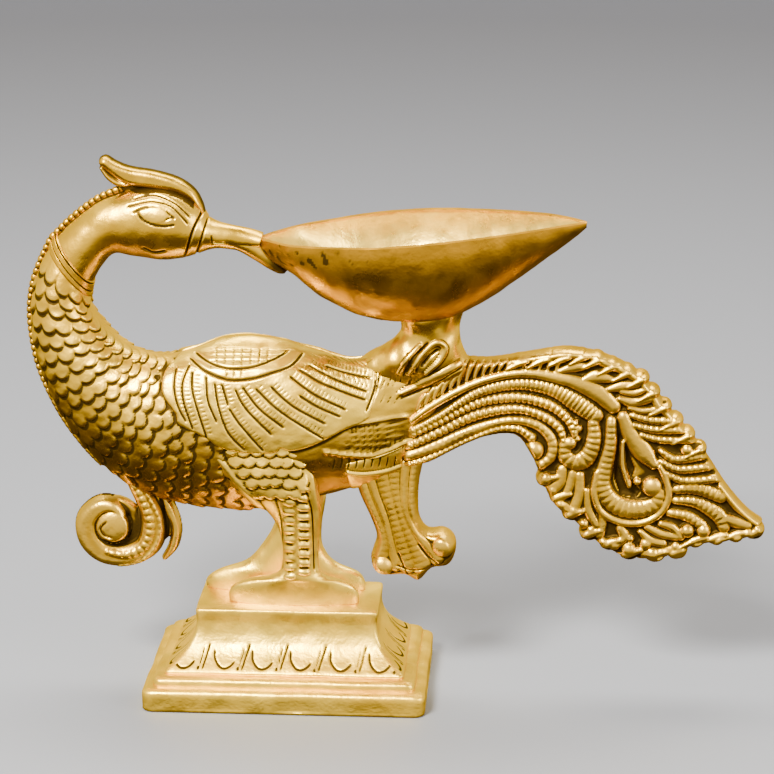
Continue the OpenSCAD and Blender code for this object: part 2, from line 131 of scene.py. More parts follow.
class Relief:
    """Heights h over a grid of points x, z of the bird's plane, above their own ground. dark is
    the share of patina that tools leave, and of painted shade under scale tips, on top of what lies deep."""

    def __init__(self, x, z, ground=0.0):
        self.x = x
        self.z = z
        self.ground = ground + np.zeros(x.shape)
        self.h = self.ground.copy()
        self.dark = np.zeros(x.shape)

    def trace(self, line, reach):
        """The part of the grid near a line, and there the distance to it, the place along it,
        the distance with a sign for its side, and the line's last column; then its length."""
        low = line[:, :2].min(0) - reach
        high = line[:, :2].max(0) + reach
        hit = (self.x > low[0]) & (self.x < high[0]) & (self.z > low[1]) & (self.z < high[1])
        rows = np.flatnonzero(hit.any(1))
        columns = np.flatnonzero(hit.any(0))
        if not len(rows):
            return None
        window = np.s_[rows[0]:rows[-1] + 1, columns[0]:columns[-1] + 1]
        x = self.x[window]
        z = self.z[window]
        best = np.full(x.shape, 1e6)
        along = np.zeros(x.shape)
        side = np.zeros(x.shape)
        width = np.zeros(x.shape)
        run = 0.0
        for a, b in zip(line[:-1], line[1:]):
            d = b[:2] - a[:2]
            length = max(np.hypot(*d), 1e-6)
            t = np.clip(((x - a[0]) * d[0] + (z - a[1]) * d[1]) / length**2, 0, 1)
            px = x - a[0] - t * d[0]
            pz = z - a[1] - t * d[1]
            far = np.hypot(px, pz)
            near = far < best
            best = np.where(near, far, best)
            along = np.where(near, run + t * length, along)
            side = np.where(near, far * np.sign(d[0] * pz - d[1] * px), side)
            width = np.where(near, a[-1] + t * (b[-1] - a[-1]), width)
            run += length
        return window, best, along, side, width, run

    def rib(self, rows, height, bead=0.0, pitch=1.5, steps=6):
        """A half-round rib along rows of x, z, half width. A bead above 0 notches it."""
        found = self.trace(smooth(rows, steps), max(r[2] for r in rows))
        if found is None:
            return
        window, d, along, _, width, _ = found
        top = np.sqrt(np.clip(1 - (d / width) ** 2, 0, 1))
        if bead:
            notch = 1 - np.abs(np.sin(np.pi * along / pitch)) ** 0.6
            top = top * (1 - bead * notch)
            self.dark[window] = np.where(d < width, 0.9 * bead * notch**2, self.dark[window])
        raised = self.ground[window] + height * top
        self.h[window] = np.where(d < width, np.maximum(self.h[window], raised), self.h[window])

    def groove(self, points, width, depth, steps=5, shade=1.0):
        """A chiselled line, sharp in its middle and fading at its ends."""
        found = self.trace(smooth(points, steps), width)
        if found is None:
            return
        window, d, along, _, _, run = found
        fade = np.sqrt(np.clip(np.minimum(along, run - along) / 0.8 + 0.25, 0, 1))
        cut = np.clip(1 - d / width, 0, 1) * fade
        self.h[window] -= depth * cut
        self.dark[window] = np.maximum(self.dark[window], shade * cut**1.3)

    def ticks(self, points, low, high, pitch, depth, width=0.28, steps=5):
        """Short cuts across a band that lies between two distances to one side of a line."""
        found = self.trace(smooth(points, steps), max(abs(low), abs(high)) + 0.2)
        if found is None:
            return
        window, _, along, side, _, run = found
        off = np.abs((along / pitch) % 1 - 0.5) * pitch
        band = (side > low) & (side < high) & (along > 0.4) & (along < run - 0.4)
        cut = np.where(band, np.clip(1 - off / width, 0, 1), 0)
        self.h[window] -= depth * cut
        self.dark[window] = np.maximum(self.dark[window], 0.8 * cut)

    def ball(self, x, z, r, height, stretch=1.0):
        """A round boss, which stretch makes longer along x."""
        d = np.hypot((self.x - x) / stretch, self.z - z) / r
        raised = self.ground + height * np.sqrt(np.clip(1 - d * d, 0, 1))
        self.h = np.where(d < 1, np.maximum(self.h, raised), self.h)

    def pit(self, x, z, r, depth):
        """A round dent with dark in it."""
        d = np.hypot(self.x - x, self.z - z) / r
        cut = np.clip(1 - d * d, 0, 1)
        self.h -= depth * cut
        self.dark = np.maximum(self.dark, np.sqrt(cut))

    def scale(self, x, z, direction, r, lift):
        """A round scale that rises towards its tip, with a dark crescent under the tip: patina and painted
        shade in one.
        """
        reach = np.hypot(self.x - x, self.z - z) < 2.2 * r
        u = (self.x - x) * direction[0] + (self.z - z) * direction[1]
        v = -(self.x - x) * direction[1] + (self.z - z) * direction[0]
        q = np.hypot(v, np.maximum(u, 0)) / r
        slope = np.clip(0.45 + 0.55 * u / r, 0.05, 1)
        raised = self.ground + lift * slope * (1 - q**16)
        self.h = np.where(reach & (q < 1) & (u > -1.4 * r), np.maximum(self.h, raised), self.h)
        under = np.clip(1 - np.abs(q - 1.1) / 0.2, 0, 1) * (u > 0.45 * r) * reach
        self.dark = np.maximum(self.dark, 1.3 * under)

    def cavity(self, cells, wrap=False):
        """How deep each point lies below its surroundings, for the dark patina."""
        off = self.h - self.ground
        fine = blurred(off, cells, wrap) - off
        broad = blurred(off, 3 * cells, wrap) - off
        return np.clip(2.6 * fine + 0.9 * broad + 0.75 * self.dark, -1, 1.5)


# ---- Meshes ----


def make_piece(name, points, faces, cavity, sharp=None):
    """A smooth mesh object with its cavity per point. Edges above sharp degrees stay sharp."""
    mesh = bpy.data.meshes.new(name)
    mesh.from_pydata((np.asarray(points) * MM).tolist(), [], faces)
    mesh.update()
    layer = mesh.attributes.new("cavity", "FLOAT", "POINT")
    layer.data.foreach_set("value", np.asarray(cavity, np.float32))
    mesh.shade_smooth()
    if sharp:
        mesh.set_sharp_from_angle(angle=sharp * DEG)
    piece = bpy.data.objects.new(name, mesh)
    bpy.context.scene.collection.objects.link(piece)
    return piece


def outward(points, faces):
    """The faces turned so that the solid's volume is positive."""
    quads = np.array([face for face in faces if len(face) == 4])
    a, b, c, d = (points[quads[:, k]] for k in range(4))
    volume = (a * np.cross(b, c)).sum() + (a * np.cross(c, d)).sum()
    return faces if volume > 0 else [face[::-1] for face in faces]


def tube_faces(n, m, start=0):
    """The quads between n closed rings of m points."""
    i, j = np.meshgrid(np.arange(n - 1), np.arange(m), indexing="ij")
    k = (j + 1) % m
    quads = np.stack([i * m + j, (i + 1) * m + j, (i + 1) * m + k, i * m + k], -1) + start
    return quads.reshape(-1, 4).tolist()


def solid_of_rings(rings, cavity, crescent=False):
    """Points, faces and cavity of a closed solid through rings, each end closed flat. An end is
    a fan around its middle, or, for rings in a crescent shape, bars from arm to arm."""
    n, m = rings.shape[:2]
    points = rings.reshape(-1, 3)
    values = cavity.reshape(-1)
    faces = tube_faces(n, m)
    last = (n - 1) * m
    if crescent:
        for j in range(m // 2 - 1):
            faces.append([j, j + 1, m - 2 - j, m - 1 - j])
            faces.append([last + q for q in (m - 1 - j, m - 2 - j, j + 1, j)])
    else:
        middles = np.array([rings[0].mean(0), rings[-1].mean(0)])
        points = np.vstack([points, middles])
        values = np.append(values, [0, 0])
        for j in range(m):
            k = (j + 1) % m
            faces.append([n * m, j, k])
            faces.append([n * m + 1, last + k, last + j])
    return points, outward(points, faces), values


def shell(base, normal, h, back, edge, cavity):
    """Points, faces and cavity of a closed plate over a grid. Where edge is above 0 it stands h
    off its base and reaches back behind it, and both sides meet on the line where edge is 0."""
    # The grid's border never counts as inside.
    edge = edge.copy()
    edge[[0, -1], :] = np.minimum(edge[[0, -1], :], -1e-3)
    edge[:, [0, -1]] = np.minimum(edge[:, [0, -1]], -1e-3)
    inside = edge > 0

    # Points just outside slide onto the line, straight neighbours before diagonal ones.
    moved = np.zeros(base.shape)
    turned = np.zeros(base.shape)
    shade = np.zeros(edge.shape)
    count = np.zeros(edge.shape)
    straight = [(0, 1), (0, -1), (1, 0), (-1, 0)]
    diagonal = [(1, 1), (1, -1), (-1, 1), (-1, -1)]
    for steps in (straight, diagonal):
        wanting = ~inside & (count == 0)
        for step in steps:
            beside = np.roll(inside, step, (0, 1)) & wanting
            their = np.roll(edge, step, (0, 1))
            t = np.where(beside, -edge / np.maximum(their - edge, 1e-9), 0)[..., None]
            towards = np.roll(base, step, (0, 1)) - base
            moved += np.where(beside[..., None], base + t * towards, 0)
            turned += np.where(beside[..., None], normal, 0)
            shade += np.where(beside, np.roll(cavity, step, (0, 1)), 0)
            count += beside
    rim = count > 0
    share = np.maximum(count, 1)
    place = np.where(rim[..., None], moved / share[..., None], base)
    lean = np.where(rim[..., None], turned / share[..., None], normal)
    rise = np.where(inside, h, 0)[..., None]
    depth = np.where(inside, back, 0)[..., None]

    # Inside points count twice, for the front and the back; the rim is shared.
    used = inside | rim
    top = np.full(edge.shape, -1)
    top[used] = np.arange(used.sum())
    low = top.copy()
    low[inside] = used.sum() + np.arange(inside.sum())
    points = np.vstack([(place + lean * rise)[used], (place - lean * depth)[inside]])
    shade = np.where(rim, shade / share, cavity)
    values = np.concatenate([shade[used], shade[inside]])
    near = inside[:-1, :-1] | inside[1:, :-1] | inside[1:, 1:] | inside[:-1, 1:]
    faces = []
    for index, order in ((top, 1), (low, -1)):
        quads = np.stack([index[:-1, :-1], index[1:, :-1], index[1:, 1:], index[:-1, 1:]], -1)
        faces += quads[near][:, ::order].tolist()
    return points, outward(points, faces), values


def joined(parts):
    """Several solids as one piece's points, faces and cavity."""
    points = []
    faces = []
    values = []
    start = 0
    for p, f, v in parts:
        points.append(p)
        values.append(v)
        faces += [[q + start for q in face] for face in f]
        start += len(p)
    return np.vstack(points), faces, np.concatenate(values)


def plane_grid(x_range, z_range, step):
    """A grid over a rectangle of the bird's plane: its x, z, points and normals."""
    lines = [np.arange(low, high + step, step) for low, high in (x_range, z_range)]
    x, z = np.meshgrid(*lines, indexing="ij")
    base = np.stack([x, np.zeros(x.shape), z], -1)
    normal = np.zeros(base.shape)
    normal[..., 1] = NEAR
    return x, z, base, normal


def normals(grid, closed):
    """Unit normals of a grid of rings, pointing out of the bird."""
    du = np.gradient(grid, axis=0)
    dv = np.roll(grid, -1, 1) - np.roll(grid, 1, 1) if closed else np.gradient(grid, axis=1)
    n = np.cross(du, dv)
    n /= np.maximum(np.linalg.norm(n, axis=-1, keepdims=True), 1e-9)
    outside = grid[..., 1] * n[..., 1]
    return n if outside.sum() > 0 else -n


# ---- The bird's skin: outer edge x, z, inner edge x, z, half thickness ----

HEAD_ROWS = [
    [-6.4, 128.8, -7.4, 124.6, 3.2], [-12, 130.6, -12.2, 123.9, 3.2], [-17, 131.5, -16.6, 124.3, 3.6],
    [-20.5, 132.8, -19.8, 124.2, 4.8], [-22.6, 135.6, -24, 123.1, 6.4], [-26.5, 139.2, -28.5, 121.9, 8],
    [-33, 141.4, -34.5, 121.3, 8.7], [-41.5, 140.8, -41.5, 122.1, 8.3], [-50, 137.6, -46.5, 122.8, 7.7],
    [-57, 132.6, -50.3, 119.4, 7.7], [-62.2, 127.6, -52.8, 114.8, 7.9],
]
BODY_ROWS = [
    [-64.3, 124.9, -53.6, 111, 8.1], [-68.6, 115, -53.3, 107.6, 8.8], [-70, 105, -50.5, 103.2, 9.6],
    [-68.6, 93, -46.5, 99.2, 10.5], [-65, 82.5, -42, 96.2, 11.4], [-59.6, 72.8, -37.5, 94.8, 12],
    [-51.5, 63.2, -32, 94.6, 12.6], [-41, 55.8, -26, 96.4, 13], [-28, 52.2, -19, 99.2, 13],
    [-14, 50.8, -11, 100.5, 13], [-1, 52, -2, 99.5, 13], [11, 55.5, 8, 96.4, 12],
    [21, 58.5, 17, 94, 10.5], [28, 61, 27, 96, 8.2], [33, 64.5, 47, 95.6, 4.4],
]
NECK = len(HEAD_ROWS)                  # the first body row, at the collar
LAST = NECK + len(BODY_ROWS) - 1


def oval_rings(line, angles):
    """Rings that hang between two edges, from rows of x, z, other x, other z, half thickness."""
    middle = (line[:, 0:2] + line[:, 2:4]) / 2
    arm = (line[:, 2:4] - line[:, 0:2]) / 2
    x, z = (middle[:, k:k + 1] + arm[:, k:k + 1] * np.cos(angles) for k in (0, 1))
    return np.stack([x, -line[:, 4:5] * np.sin(angles), z], -1)


def skin(first, last, steps, angles):
    """The skin between two design rows, at angles around it: 0 is the inner edge, 90 degrees the
    near side and 180 the outer edge."""
    line = smooth(HEAD_ROWS + BODY_ROWS, steps)
    return oval_rings(line[round(first * steps):round(last * steps) + 1], angles)


def ring_angles(count):
    return np.arange(count) * 2 * np.pi / count


# ---- Brass ----


class Metal:
    """A metal's node tree, with short ways to add to it."""

    def __init__(self, name):
        self.material = bpy.data.materials.new(name)
        self.material.use_nodes = True
        self.nodes = self.material.node_tree.nodes
        self.link = self.material.node_tree.links.new
        self.shader = self.nodes["Principled BSDF"]
        self.shader.inputs["Metallic"].default_value = 1.0
        self.point = self.nodes.new("ShaderNodeTexCoord").outputs["Object"]

    def noise(self, scale, detail, warp=0.0):
        node = self.nodes.new("ShaderNodeTexNoise")
        node.inputs["Scale"].default_value = scale
        node.inputs["Detail"].default_value = detail
        node.inputs["Distortion"].default_value = warp
        self.link(self.point, node.inputs["Vector"])
        return node.outputs["Fac"]

    def ramp(self, source, low, high, a, b, kind="SMOOTHSTEP"):
        """A value that goes from a to b while its source goes from low to high."""
        node = self.nodes.new("ShaderNodeMapRange")
        node.interpolation_type = kind
        self.link(source, node.inputs["Value"])
        for socket, value in zip(("From Min", "From Max", "To Min", "To Max"), (low, high, a, b)):
            node.inputs[socket].default_value = value
        return node.outputs["Result"]

    def math(self, kind, a, b):
        node = self.nodes.new("ShaderNodeMath")
        node.operation = kind
        for socket, value in zip(node.inputs, (a, b)):
            if isinstance(value, float):
                socket.default_value = value
            else:
                self.link(value, socket)
        return node.outputs[0]

    def mix(self, fac, a, b):
        """A colour from a to b. Either is a colour or another node's output."""
        node = self.nodes.new("ShaderNodeMix")
        node.data_type = "RGBA"
        self.link(fac, node.inputs["Factor"])
        for socket, value in ((node.inputs[6], a), (node.inputs[7], b)):
            if isinstance(value, tuple):
                socket.default_value = (*value, 1)
            else:
                self.link(value, socket)
        return node.outputs[2]

    def bump(self, height, strength, distance):
        node = self.nodes.new("ShaderNodeBump")
        node.inputs["Strength"].default_value = strength
        node.inputs["Distance"].default_value = distance
        self.link(height, node.inputs["Height"])
        self.link(node.outputs["Normal"], self.shader.inputs["Normal"])


def brass(name, colour, deep, roughness, grain=0.4, rubbed=0.3, underside_shade=0.0):
    """Cast brass, paler where it is rubbed, which is also a painted highlight on raised parts, with a dark
    patina, mixed with painted shade, in what lies deep, and amber painted shade on what faces down."""
    metal = Metal(name)
    shader = metal.shader
    shader.inputs["Specular Tint"].default_value = (*EDGE_TINT, 1)
    cavity = metal.nodes.new("ShaderNodeAttribute")
    cavity.attribute_name = "cavity"
    speckle = metal.math("MULTIPLY", metal.math("SUBTRACT", metal.noise(420, 3), 0.5), 0.35)
    deepness = metal.math("ADD", cavity.outputs["Fac"], speckle)
    dark = metal.ramp(deepness, 0.12, 0.75, 0.0, 1.0)
    # Raised parts turn paler: rubbed brass and a painted highlight in one.
    worn = metal.ramp(deepness, -0.05, -0.5, 0.0, 1.0)
    cloud = metal.ramp(metal.noise(55, 4, 0.6), 0.35, 0.68, 0.0, 1.0)
    tone = metal.mix(cloud, colour, deep)
    tone = metal.mix(metal.math("MULTIPLY", worn, rubbed), tone, RUBBED_SHEEN)
    # What faces down is painted amber and darker: painted shade.
    if underside_shade:
        facing = metal.nodes.new("ShaderNodeNewGeometry")
        split = metal.nodes.new("ShaderNodeSeparateXYZ")
        metal.link(facing.outputs["Normal"], split.inputs["Vector"])
        tone = metal.mix(metal.ramp(split.outputs["Z"], 0.2, -0.3, 0.0, underside_shade), tone, AMBER_UNDERSIDE_SHADE)
    # The dark colour is patina in the hollows, and painted shade where the cavity holds it.
    metal.link(metal.mix(dark, tone, PATINA_AND_SHADE), shader.inputs["Base Color"])
    rough = metal.ramp(metal.noise(160, 5), 0.3, 0.7, roughness - 0.06, roughness + 0.1)
    rough = metal.math("ADD", rough, metal.math("MULTIPLY", dark, 0.3))
    metal.link(rough, shader.inputs["Roughness"])
    height = metal.math("ADD", metal.math("MULTIPLY", metal.noise(1300, 4), 0.35), metal.noise(330, 3))
    metal.bump(height, grain, 0.0004)
    return metal.material


def steel(name):
    """Plain machined steel."""
    metal = Metal(name)
    metal.shader.inputs["Base Color"].default_value = (0.42, 0.42, 0.43, 1)
    grain = metal.noise(700, 4)
    rough = metal.ramp(grain, 0, 1, 0.25, 0.6, kind="LINEAR")
    metal.link(rough, metal.shader.inputs["Roughness"])
    metal.bump(grain, 0.3, 0.0002)
    return metal.material


GOLD = (0.92, 0.63, 0.045)
DEEP_GOLD = (0.78, 0.49, 0.022)
# A paler copy of the gold for the wings, legs and plinth: painted light.
PALE_GOLD = (0.98, 0.73, 0.085)
OLD_GOLD = (0.62, 0.37, 0.01)
# Pale rubbed brass, which also serves as a painted highlight.
RUBBED_SHEEN = (0.98, 0.78, 0.19)
# Darker copies of the gold for the bowl: painted shade.
BOWL_GOLD = (0.76, 0.42, 0.02)
DARK_BOWL_GOLD = (0.6, 0.32, 0.01)
# Painted shade for what faces down.
AMBER_UNDERSIDE_SHADE = (0.38, 0.22, 0.012)
PATINA_AND_SHADE = (0.05, 0.032, 0.008)
EDGE_TINT = (1.0, 0.86, 0.34)

body_brass = brass("body_brass", GOLD, DEEP_GOLD, 0.3, underside_shade=1.0)
head_brass = brass("head_brass", GOLD, DEEP_GOLD, 0.27, grain=0.3, underside_shade=0.5)
trim_brass = brass("trim_brass", DEEP_GOLD, OLD_GOLD, 0.3)
wing_brass = brass("wing_brass", PALE_GOLD, GOLD, 0.33)
leg_brass = brass("leg_brass", PALE_GOLD, GOLD, 0.32)
tail_brass = brass("tail_brass", DEEP_GOLD, OLD_GOLD, 0.29)
bowl_brass = brass("bowl_brass", BOWL_GOLD, DARK_BOWL_GOLD, 0.32, grain=0.35, rubbed=0.8, underside_shade=1.0)
plinth_brass = brass("plinth_brass", PALE_GOLD, GOLD, 0.36, grain=0.45)


def place_piece(name, solid, material, node, sharp=None):
    """A piece of the lamp, in place of a CAD node."""
    piece = make_piece(name, *solid, sharp)
    piece.data.materials.append(material)
    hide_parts(node)
    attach(piece, "root")


# ---- Tail ----

# The tail's upper edge from the stem to the tip, and its lower edge back to the rump.
TAIL_TOP = [
    [47, 95.6], [55, 95.2], [66, 97], [77, 98.6], [88, 96], [96, 91.5], [104, 82], [113, 71],
    [120, 60.5], [126, 53.5], [130.2, 50.5],
]
TAIL_LOW = [
    [129.5, 46.5], [122, 44.5], [112, 43], [104, 39.5], [94, 39], [86, 42.5], [80, 48], [73, 54],
    [69.5, 61], [66.5, 68], [62, 73.5], [54, 72.8], [46, 69.4], [39, 65.6], [33, 64.5],
]

# Ribs as rows of x, z, half width. With some come how deep they are beaded and the beads' pitch.
TOP_RIB = [
    [34, 78.6, 0.9], [40, 82.9, 1], [52, 89, 1.1], [64, 91.7, 1.2], [76, 89.9, 1.7], [84, 86.6, 2.2],
    [88.6, 82.8, 1.8],
]
LONG_RIBS = [
    (TOP_RIB, 0, 1),
    ([[34, 75.6, 1], [42, 79.8, 1], [52, 86, 1.3], [62, 88.6, 1.5], [72, 87.4, 1.8], [79, 83.4, 2.3],
      [83.6, 80.2, 2]], 0.3, 1.3),
    ([[34, 74.4, 0.9], [42, 78, 1], [52, 83, 1.2], [62, 84.8, 1.3], [71, 83, 1.3], [76.4, 79, 1.2],
      [78.4, 74.8, 1]], 0.45, 1.6),
    ([[33, 71.2, 1.1], [42, 75.2, 1.3], [52, 79.8, 1.3], [62, 81.6, 1.2], [69, 80, 1.2],
      [74, 76.6, 1.1], [75.4, 73, 0.9]], 0.35, 1.7),
    ([[33, 68.4, 1.2], [42, 71.6, 1.5], [52, 76, 1.3], [61, 78.4, 1.1], [68, 77.2, 1.2],
      [72.2, 73, 1.3], [72, 68.4, 1.3], [69, 65.6, 1.2]], 0.12, 1.8),
    ([[33, 65.8, 0.9], [42, 69, 1], [50, 72.8, 0.9], [57, 75.8, 0.9], [63, 76, 1], [66.6, 73.6, 1.2]],
     0.35, 1.5),
]
SCROLL_RIBS = [
    ([[83.2, 78.8, 1.3], [83.6, 73.4, 1.8], [82, 68.6, 2.1], [78.8, 66.6, 2.1], [76, 68.4, 1.9],
      [75.6, 71.4, 1.6]], 0.2, 1.7),
    ([[88.2, 78.6, 1.3], [88, 72, 1.5], [86.8, 66, 1.8], [86, 60.5, 2.1], [88, 56, 2.3],
      [92, 53.6, 2.4], [97, 53.4, 2.3], [100.8, 55.2, 2], [101.8, 58.4, 1.7]], 0.14, 1.7),
    ([[84.6, 64, 0.8], [84, 58, 1], [86, 52.8, 1], [91, 50, 1], [97, 49.8, 1], [102, 52.6, 1],
      [104.2, 57.6, 1], [103.4, 62.4, 0.9], [101.6, 66, 0.7]], 0, 1),
    ([[91.4, 79.8, 1.5], [93.6, 74.8, 2], [97, 70.2, 2.3], [100, 66.6, 1.4]], 0, 1),
    ([[91.4, 73, 0.5], [91.6, 66, 0.7], [93.4, 60.4, 0.7]], 0, 1),
    ([[78.8, 78.4, 0.6], [78, 75.6, 0.9], [79.2, 73.4, 0.7]], 0.3, 1.2),
]
FAN_RIBS = [
    [[93.6, 80.4, 0.7], [99, 79, 1], [106.6, 79, 0.8]],
    [[93.8, 77.8, 0.7], [99.6, 76.4, 1], [109, 76.4, 0.8]],
    [[96, 75, 0.7], [101.4, 73.6, 0.9], [111, 73.6, 0.8]],
    [[101.8, 70.4, 0.7], [106, 68, 1], [114, 69.4, 0.9]],
    [[101.8, 67.4, 0.7], [107, 65.2, 1], [116.4, 66.4, 0.9]],
    [[102.6, 64.4, 0.7], [108.6, 62, 1], [118.6, 63, 0.9]],
    [[105.8, 59.4, 1], [112, 59.8, 1.5], [118.4, 57.6, 1.4]],
    [[105.8, 56.4, 0.9], [112, 55.8, 1.3], [118, 52.2, 1.6], [119.6, 48.8, 1.3]],
    [[104.6, 52.8, 0.9], [109.6, 51.8, 1.2], [113.6, 49.2, 1.2]],
]
EDGE_LEAVES = [
    [[62, 95, 0.7], [67, 96.3, 1], [71, 96.8, 0.7]],
    [[71, 96.2, 0.7], [75, 97.2, 1], [79.6, 97, 0.8]],
    [[73.6, 92.4, 0.5], [78, 93.6, 1.1], [81.4, 94, 0.6]],
    [[80, 90, 0.6], [84, 90.9, 1.4], [88, 90.4, 0.7]],
    [[82.8, 96.6, 0.8], [86.4, 95.2, 1.3], [90, 93.4, 0.9]],
    [[90, 93.4, 0.9], [94, 91.6, 1.3], [96.2, 89.6, 0.8]],
    [[87.4, 87.6, 0.7], [91, 88.5, 1.1], [95, 89, 0.7]],
    [[90.2, 85, 0.6], [93.8, 84, 1.1], [98.4, 85, 0.8]],
    [[90.6, 87, 0.5], [94, 86.6, 0.8], [97, 87.6, 0.6]],
    [[97, 88.6, 0.9], [99.8, 86, 1.3], [100.6, 83, 0.9]],
    [[93, 82.4, 0.5], [97, 81.6, 0.8], [101.4, 82.4, 0.7]],
    [[101.6, 82.6, 0.9], [104.4, 80.2, 1.2], [106.6, 77, 0.8]],
    [[118.6, 60.6, 0.8], [123, 55.6, 1.2], [128.6, 50.8, 1.2]],
    [[78, 63.4, 1], [76.8, 58.8, 1.1], [75, 56.2, 0.8]],
    [[79.8, 62.8, 1], [79.8, 57.6, 1.2], [78.8, 53.6, 1.3]],
    [[75.2, 64.4, 1.1], [74.6, 61, 1.4], [72.2, 58.6, 1.6]],
    [[73.4, 56.2, 1.3], [75.2, 53.8, 1.6], [77.8, 52.4, 1.4]],
    [[82, 58.6, 0.7], [82.6, 53, 1], [84.8, 48.8, 0.9]],
    [[85.2, 55, 0.6], [86.4, 50.4, 0.9], [85.8, 46, 0.9]],
    [[91.4, 48, 0.9], [92.4, 45.6, 1.1], [91, 43.6, 0.9]],
    [[98.6, 48.6, 0.7], [102.4, 46.6, 0.9], [106.8, 45.8, 0.8]],
    [[102.4, 49.6, 0.7], [105.6, 48.4, 0.9], [108, 45.8, 0.8]],
    [[96.8, 47.2, 0.6], [99.6, 44.6, 1], [103, 43.8, 0.9]],
    [[99, 40.6, 1.6], [103.6, 41, 1.6], [108.4, 41.6, 1.5]],
    [[119.4, 51.4, 1], [123, 50.2, 1.2], [126, 49.4, 1]],
]
# Each ball: x, z, radius.
TAIL_BALLS = [
    [67.4, 69.8, 2.9], [77, 72.2, 2.1], [79.2, 76.2, 1.3], [99.8, 60, 3], [95.6, 61.4, 1.1],
    [108.8, 70.8, 1.8], [70.7, 61.8, 2.1], [72.6, 58.6, 1.7], [74.6, 54.4, 1.9], [78.5, 52.8, 1.8],
    [81.2, 48.9, 1.7], [83.4, 47.2, 1.6], [86.8, 43.6, 1.8], [89.8, 43.2, 1.8], [93.8, 42, 2.2],
    [94, 45, 1.3], [91.4, 47.6, 1.1], [98.4, 43.6, 1.9], [100.2, 40.8, 2.2], [109.6, 47.6, 2.2],
    [114, 47.8, 2.2], [118.8, 44.8, 2.4], [123.4, 45.8, 2], [126.2, 47, 2], [129, 48.2, 1.8],
    [112, 43.6, 1.7], [106.6, 43, 1.6],
]
# Rows of lobes along the edge: from, to, how many, and their radius.
EDGE_LOBES = [
    [[63, 94.4], [80, 96.2], 4, 2.2], [[84, 95.4], [96, 90.2], 4, 2.4],
    [[99, 86.4], [112, 70.6], 5, 2.4], [[70.8, 61.6], [78, 52], 3, 2.9], [[83, 46.4], [94, 41], 3, 3],
    [[101, 40.6], [107, 41.6], 2, 3.1], [[112, 45], [128, 47.6], 4, 2.9],
]
SCROLL_HOLLOW = [
    [89.8, 76], [89.4, 62], [91, 57.6], [95.4, 56.6], [96.6, 58.6], [94, 62], [95, 65], [93, 70],
]


def wider(rows, share):
    return [[x, z, share * half] for x, z, half in rows]


def lobes():
    """The middle and radius of every lobe along the tail's edge."""
    for first, last, count, r in EDGE_LOBES:
        for x, z in np.linspace(first, last, count):
            yield x, z, r


def chase_barbs(relief, rise):
    """Short slanted barbs between the top rib and the tail's upper edge."""
    edge = smooth(TAIL_TOP, 8)
    rib = smooth(TOP_RIB, 8)
    for x in np.arange(35.5, 73, 2.2):
        foot = np.interp(x, rib[:, 0], rib[:, 1]) + 1.7
        head = np.interp(x + 2, edge[:, 0], edge[:, 1]) + 0.4 if x > 45 else foot + 4.4
        if head - foot > 1:
            barb = [[x, foot, 0.5], [x + 0.9, (foot + head) / 2, 0.85], [x + 2.4, head, 0.8]]
            relief.rib(barb, 0.75 * rise, steps=3)


def chase_tail(relief, rise):
    """The tail's ribs, scrolls, leaves and balls, cut into a relief."""
    for rows, bead, pitch in LONG_RIBS + SCROLL_RIBS:
        relief.rib(wider(rows, 1.28), rise, bead, pitch)
    for rows in FAN_RIBS:
        relief.rib(wider(rows, 1.45), 0.9 * rise, 0.2, 1.6)
    for rows in EDGE_LEAVES:
        relief.rib(wider(rows, 1.6), 0.8 * rise)
    for x, z, r in lobes():
        bud = [[x - 1.6 * r, z - 0.8 * r, 0.25 * r], [x, z, 0.5 * r], [x + r, z + 0.3 * r, 0.35 * r]]
        relief.rib(bud, 0.95 * rise)
    for x, z, r in TAIL_BALLS:
        relief.ball(x, z, r, rise * min(1.2, r / 2 + 0.1))
    chase_barbs(relief, rise)
    relief.groove([[75.6, 88.4], [80, 86], [84.4, 83.4]], 0.35, 0.5)
    relief.groove([[86.6, 81.4], [87.6, 80.6], [88.6, 80.4]], 0.3, 0.4)


def tail():
    x, z, base, normal = plane_grid((31, 131.5), (36.5, 100.5), step=0.32)
    rump_end = [[31, 65], [31, 80], [36, 89], [44, 95]]
    outline = np.vstack([smooth(TAIL_TOP, 4), smooth(TAIL_LOW, 4), rump_end])
    edge = inside_distance(x, z, outline)
    for lobe_x, lobe_z, r in lobes():
        edge = np.maximum(edge, r - np.hypot(x - lobe_x, z - lobe_z))
    web = 2.6 + 2.6 * np.exp(-(((x - 33) / 11) ** 2))     # half thick, and thicker at the rump
    relief = Relief(x, z, web)
    hollow = rounded(inside_distance(x, z, SCROLL_HOLLOW), 1.2)
    relief.h -= 1.1 * hollow
    chase_tail(relief, 1.9)
    relief.dark = np.maximum(relief.dark, 1.2 * hollow * (relief.h < web))
    cavity = 0.95 * relief.cavity(3) * np.clip(edge / 1.4, 0, 1)
    h = relief.h * rounded(edge, 1.8)
    solid = shell(base, normal, h, h, edge, cavity)
    place_piece("tail_casting", solid, tail_brass, "tail")


# ---- Body ----


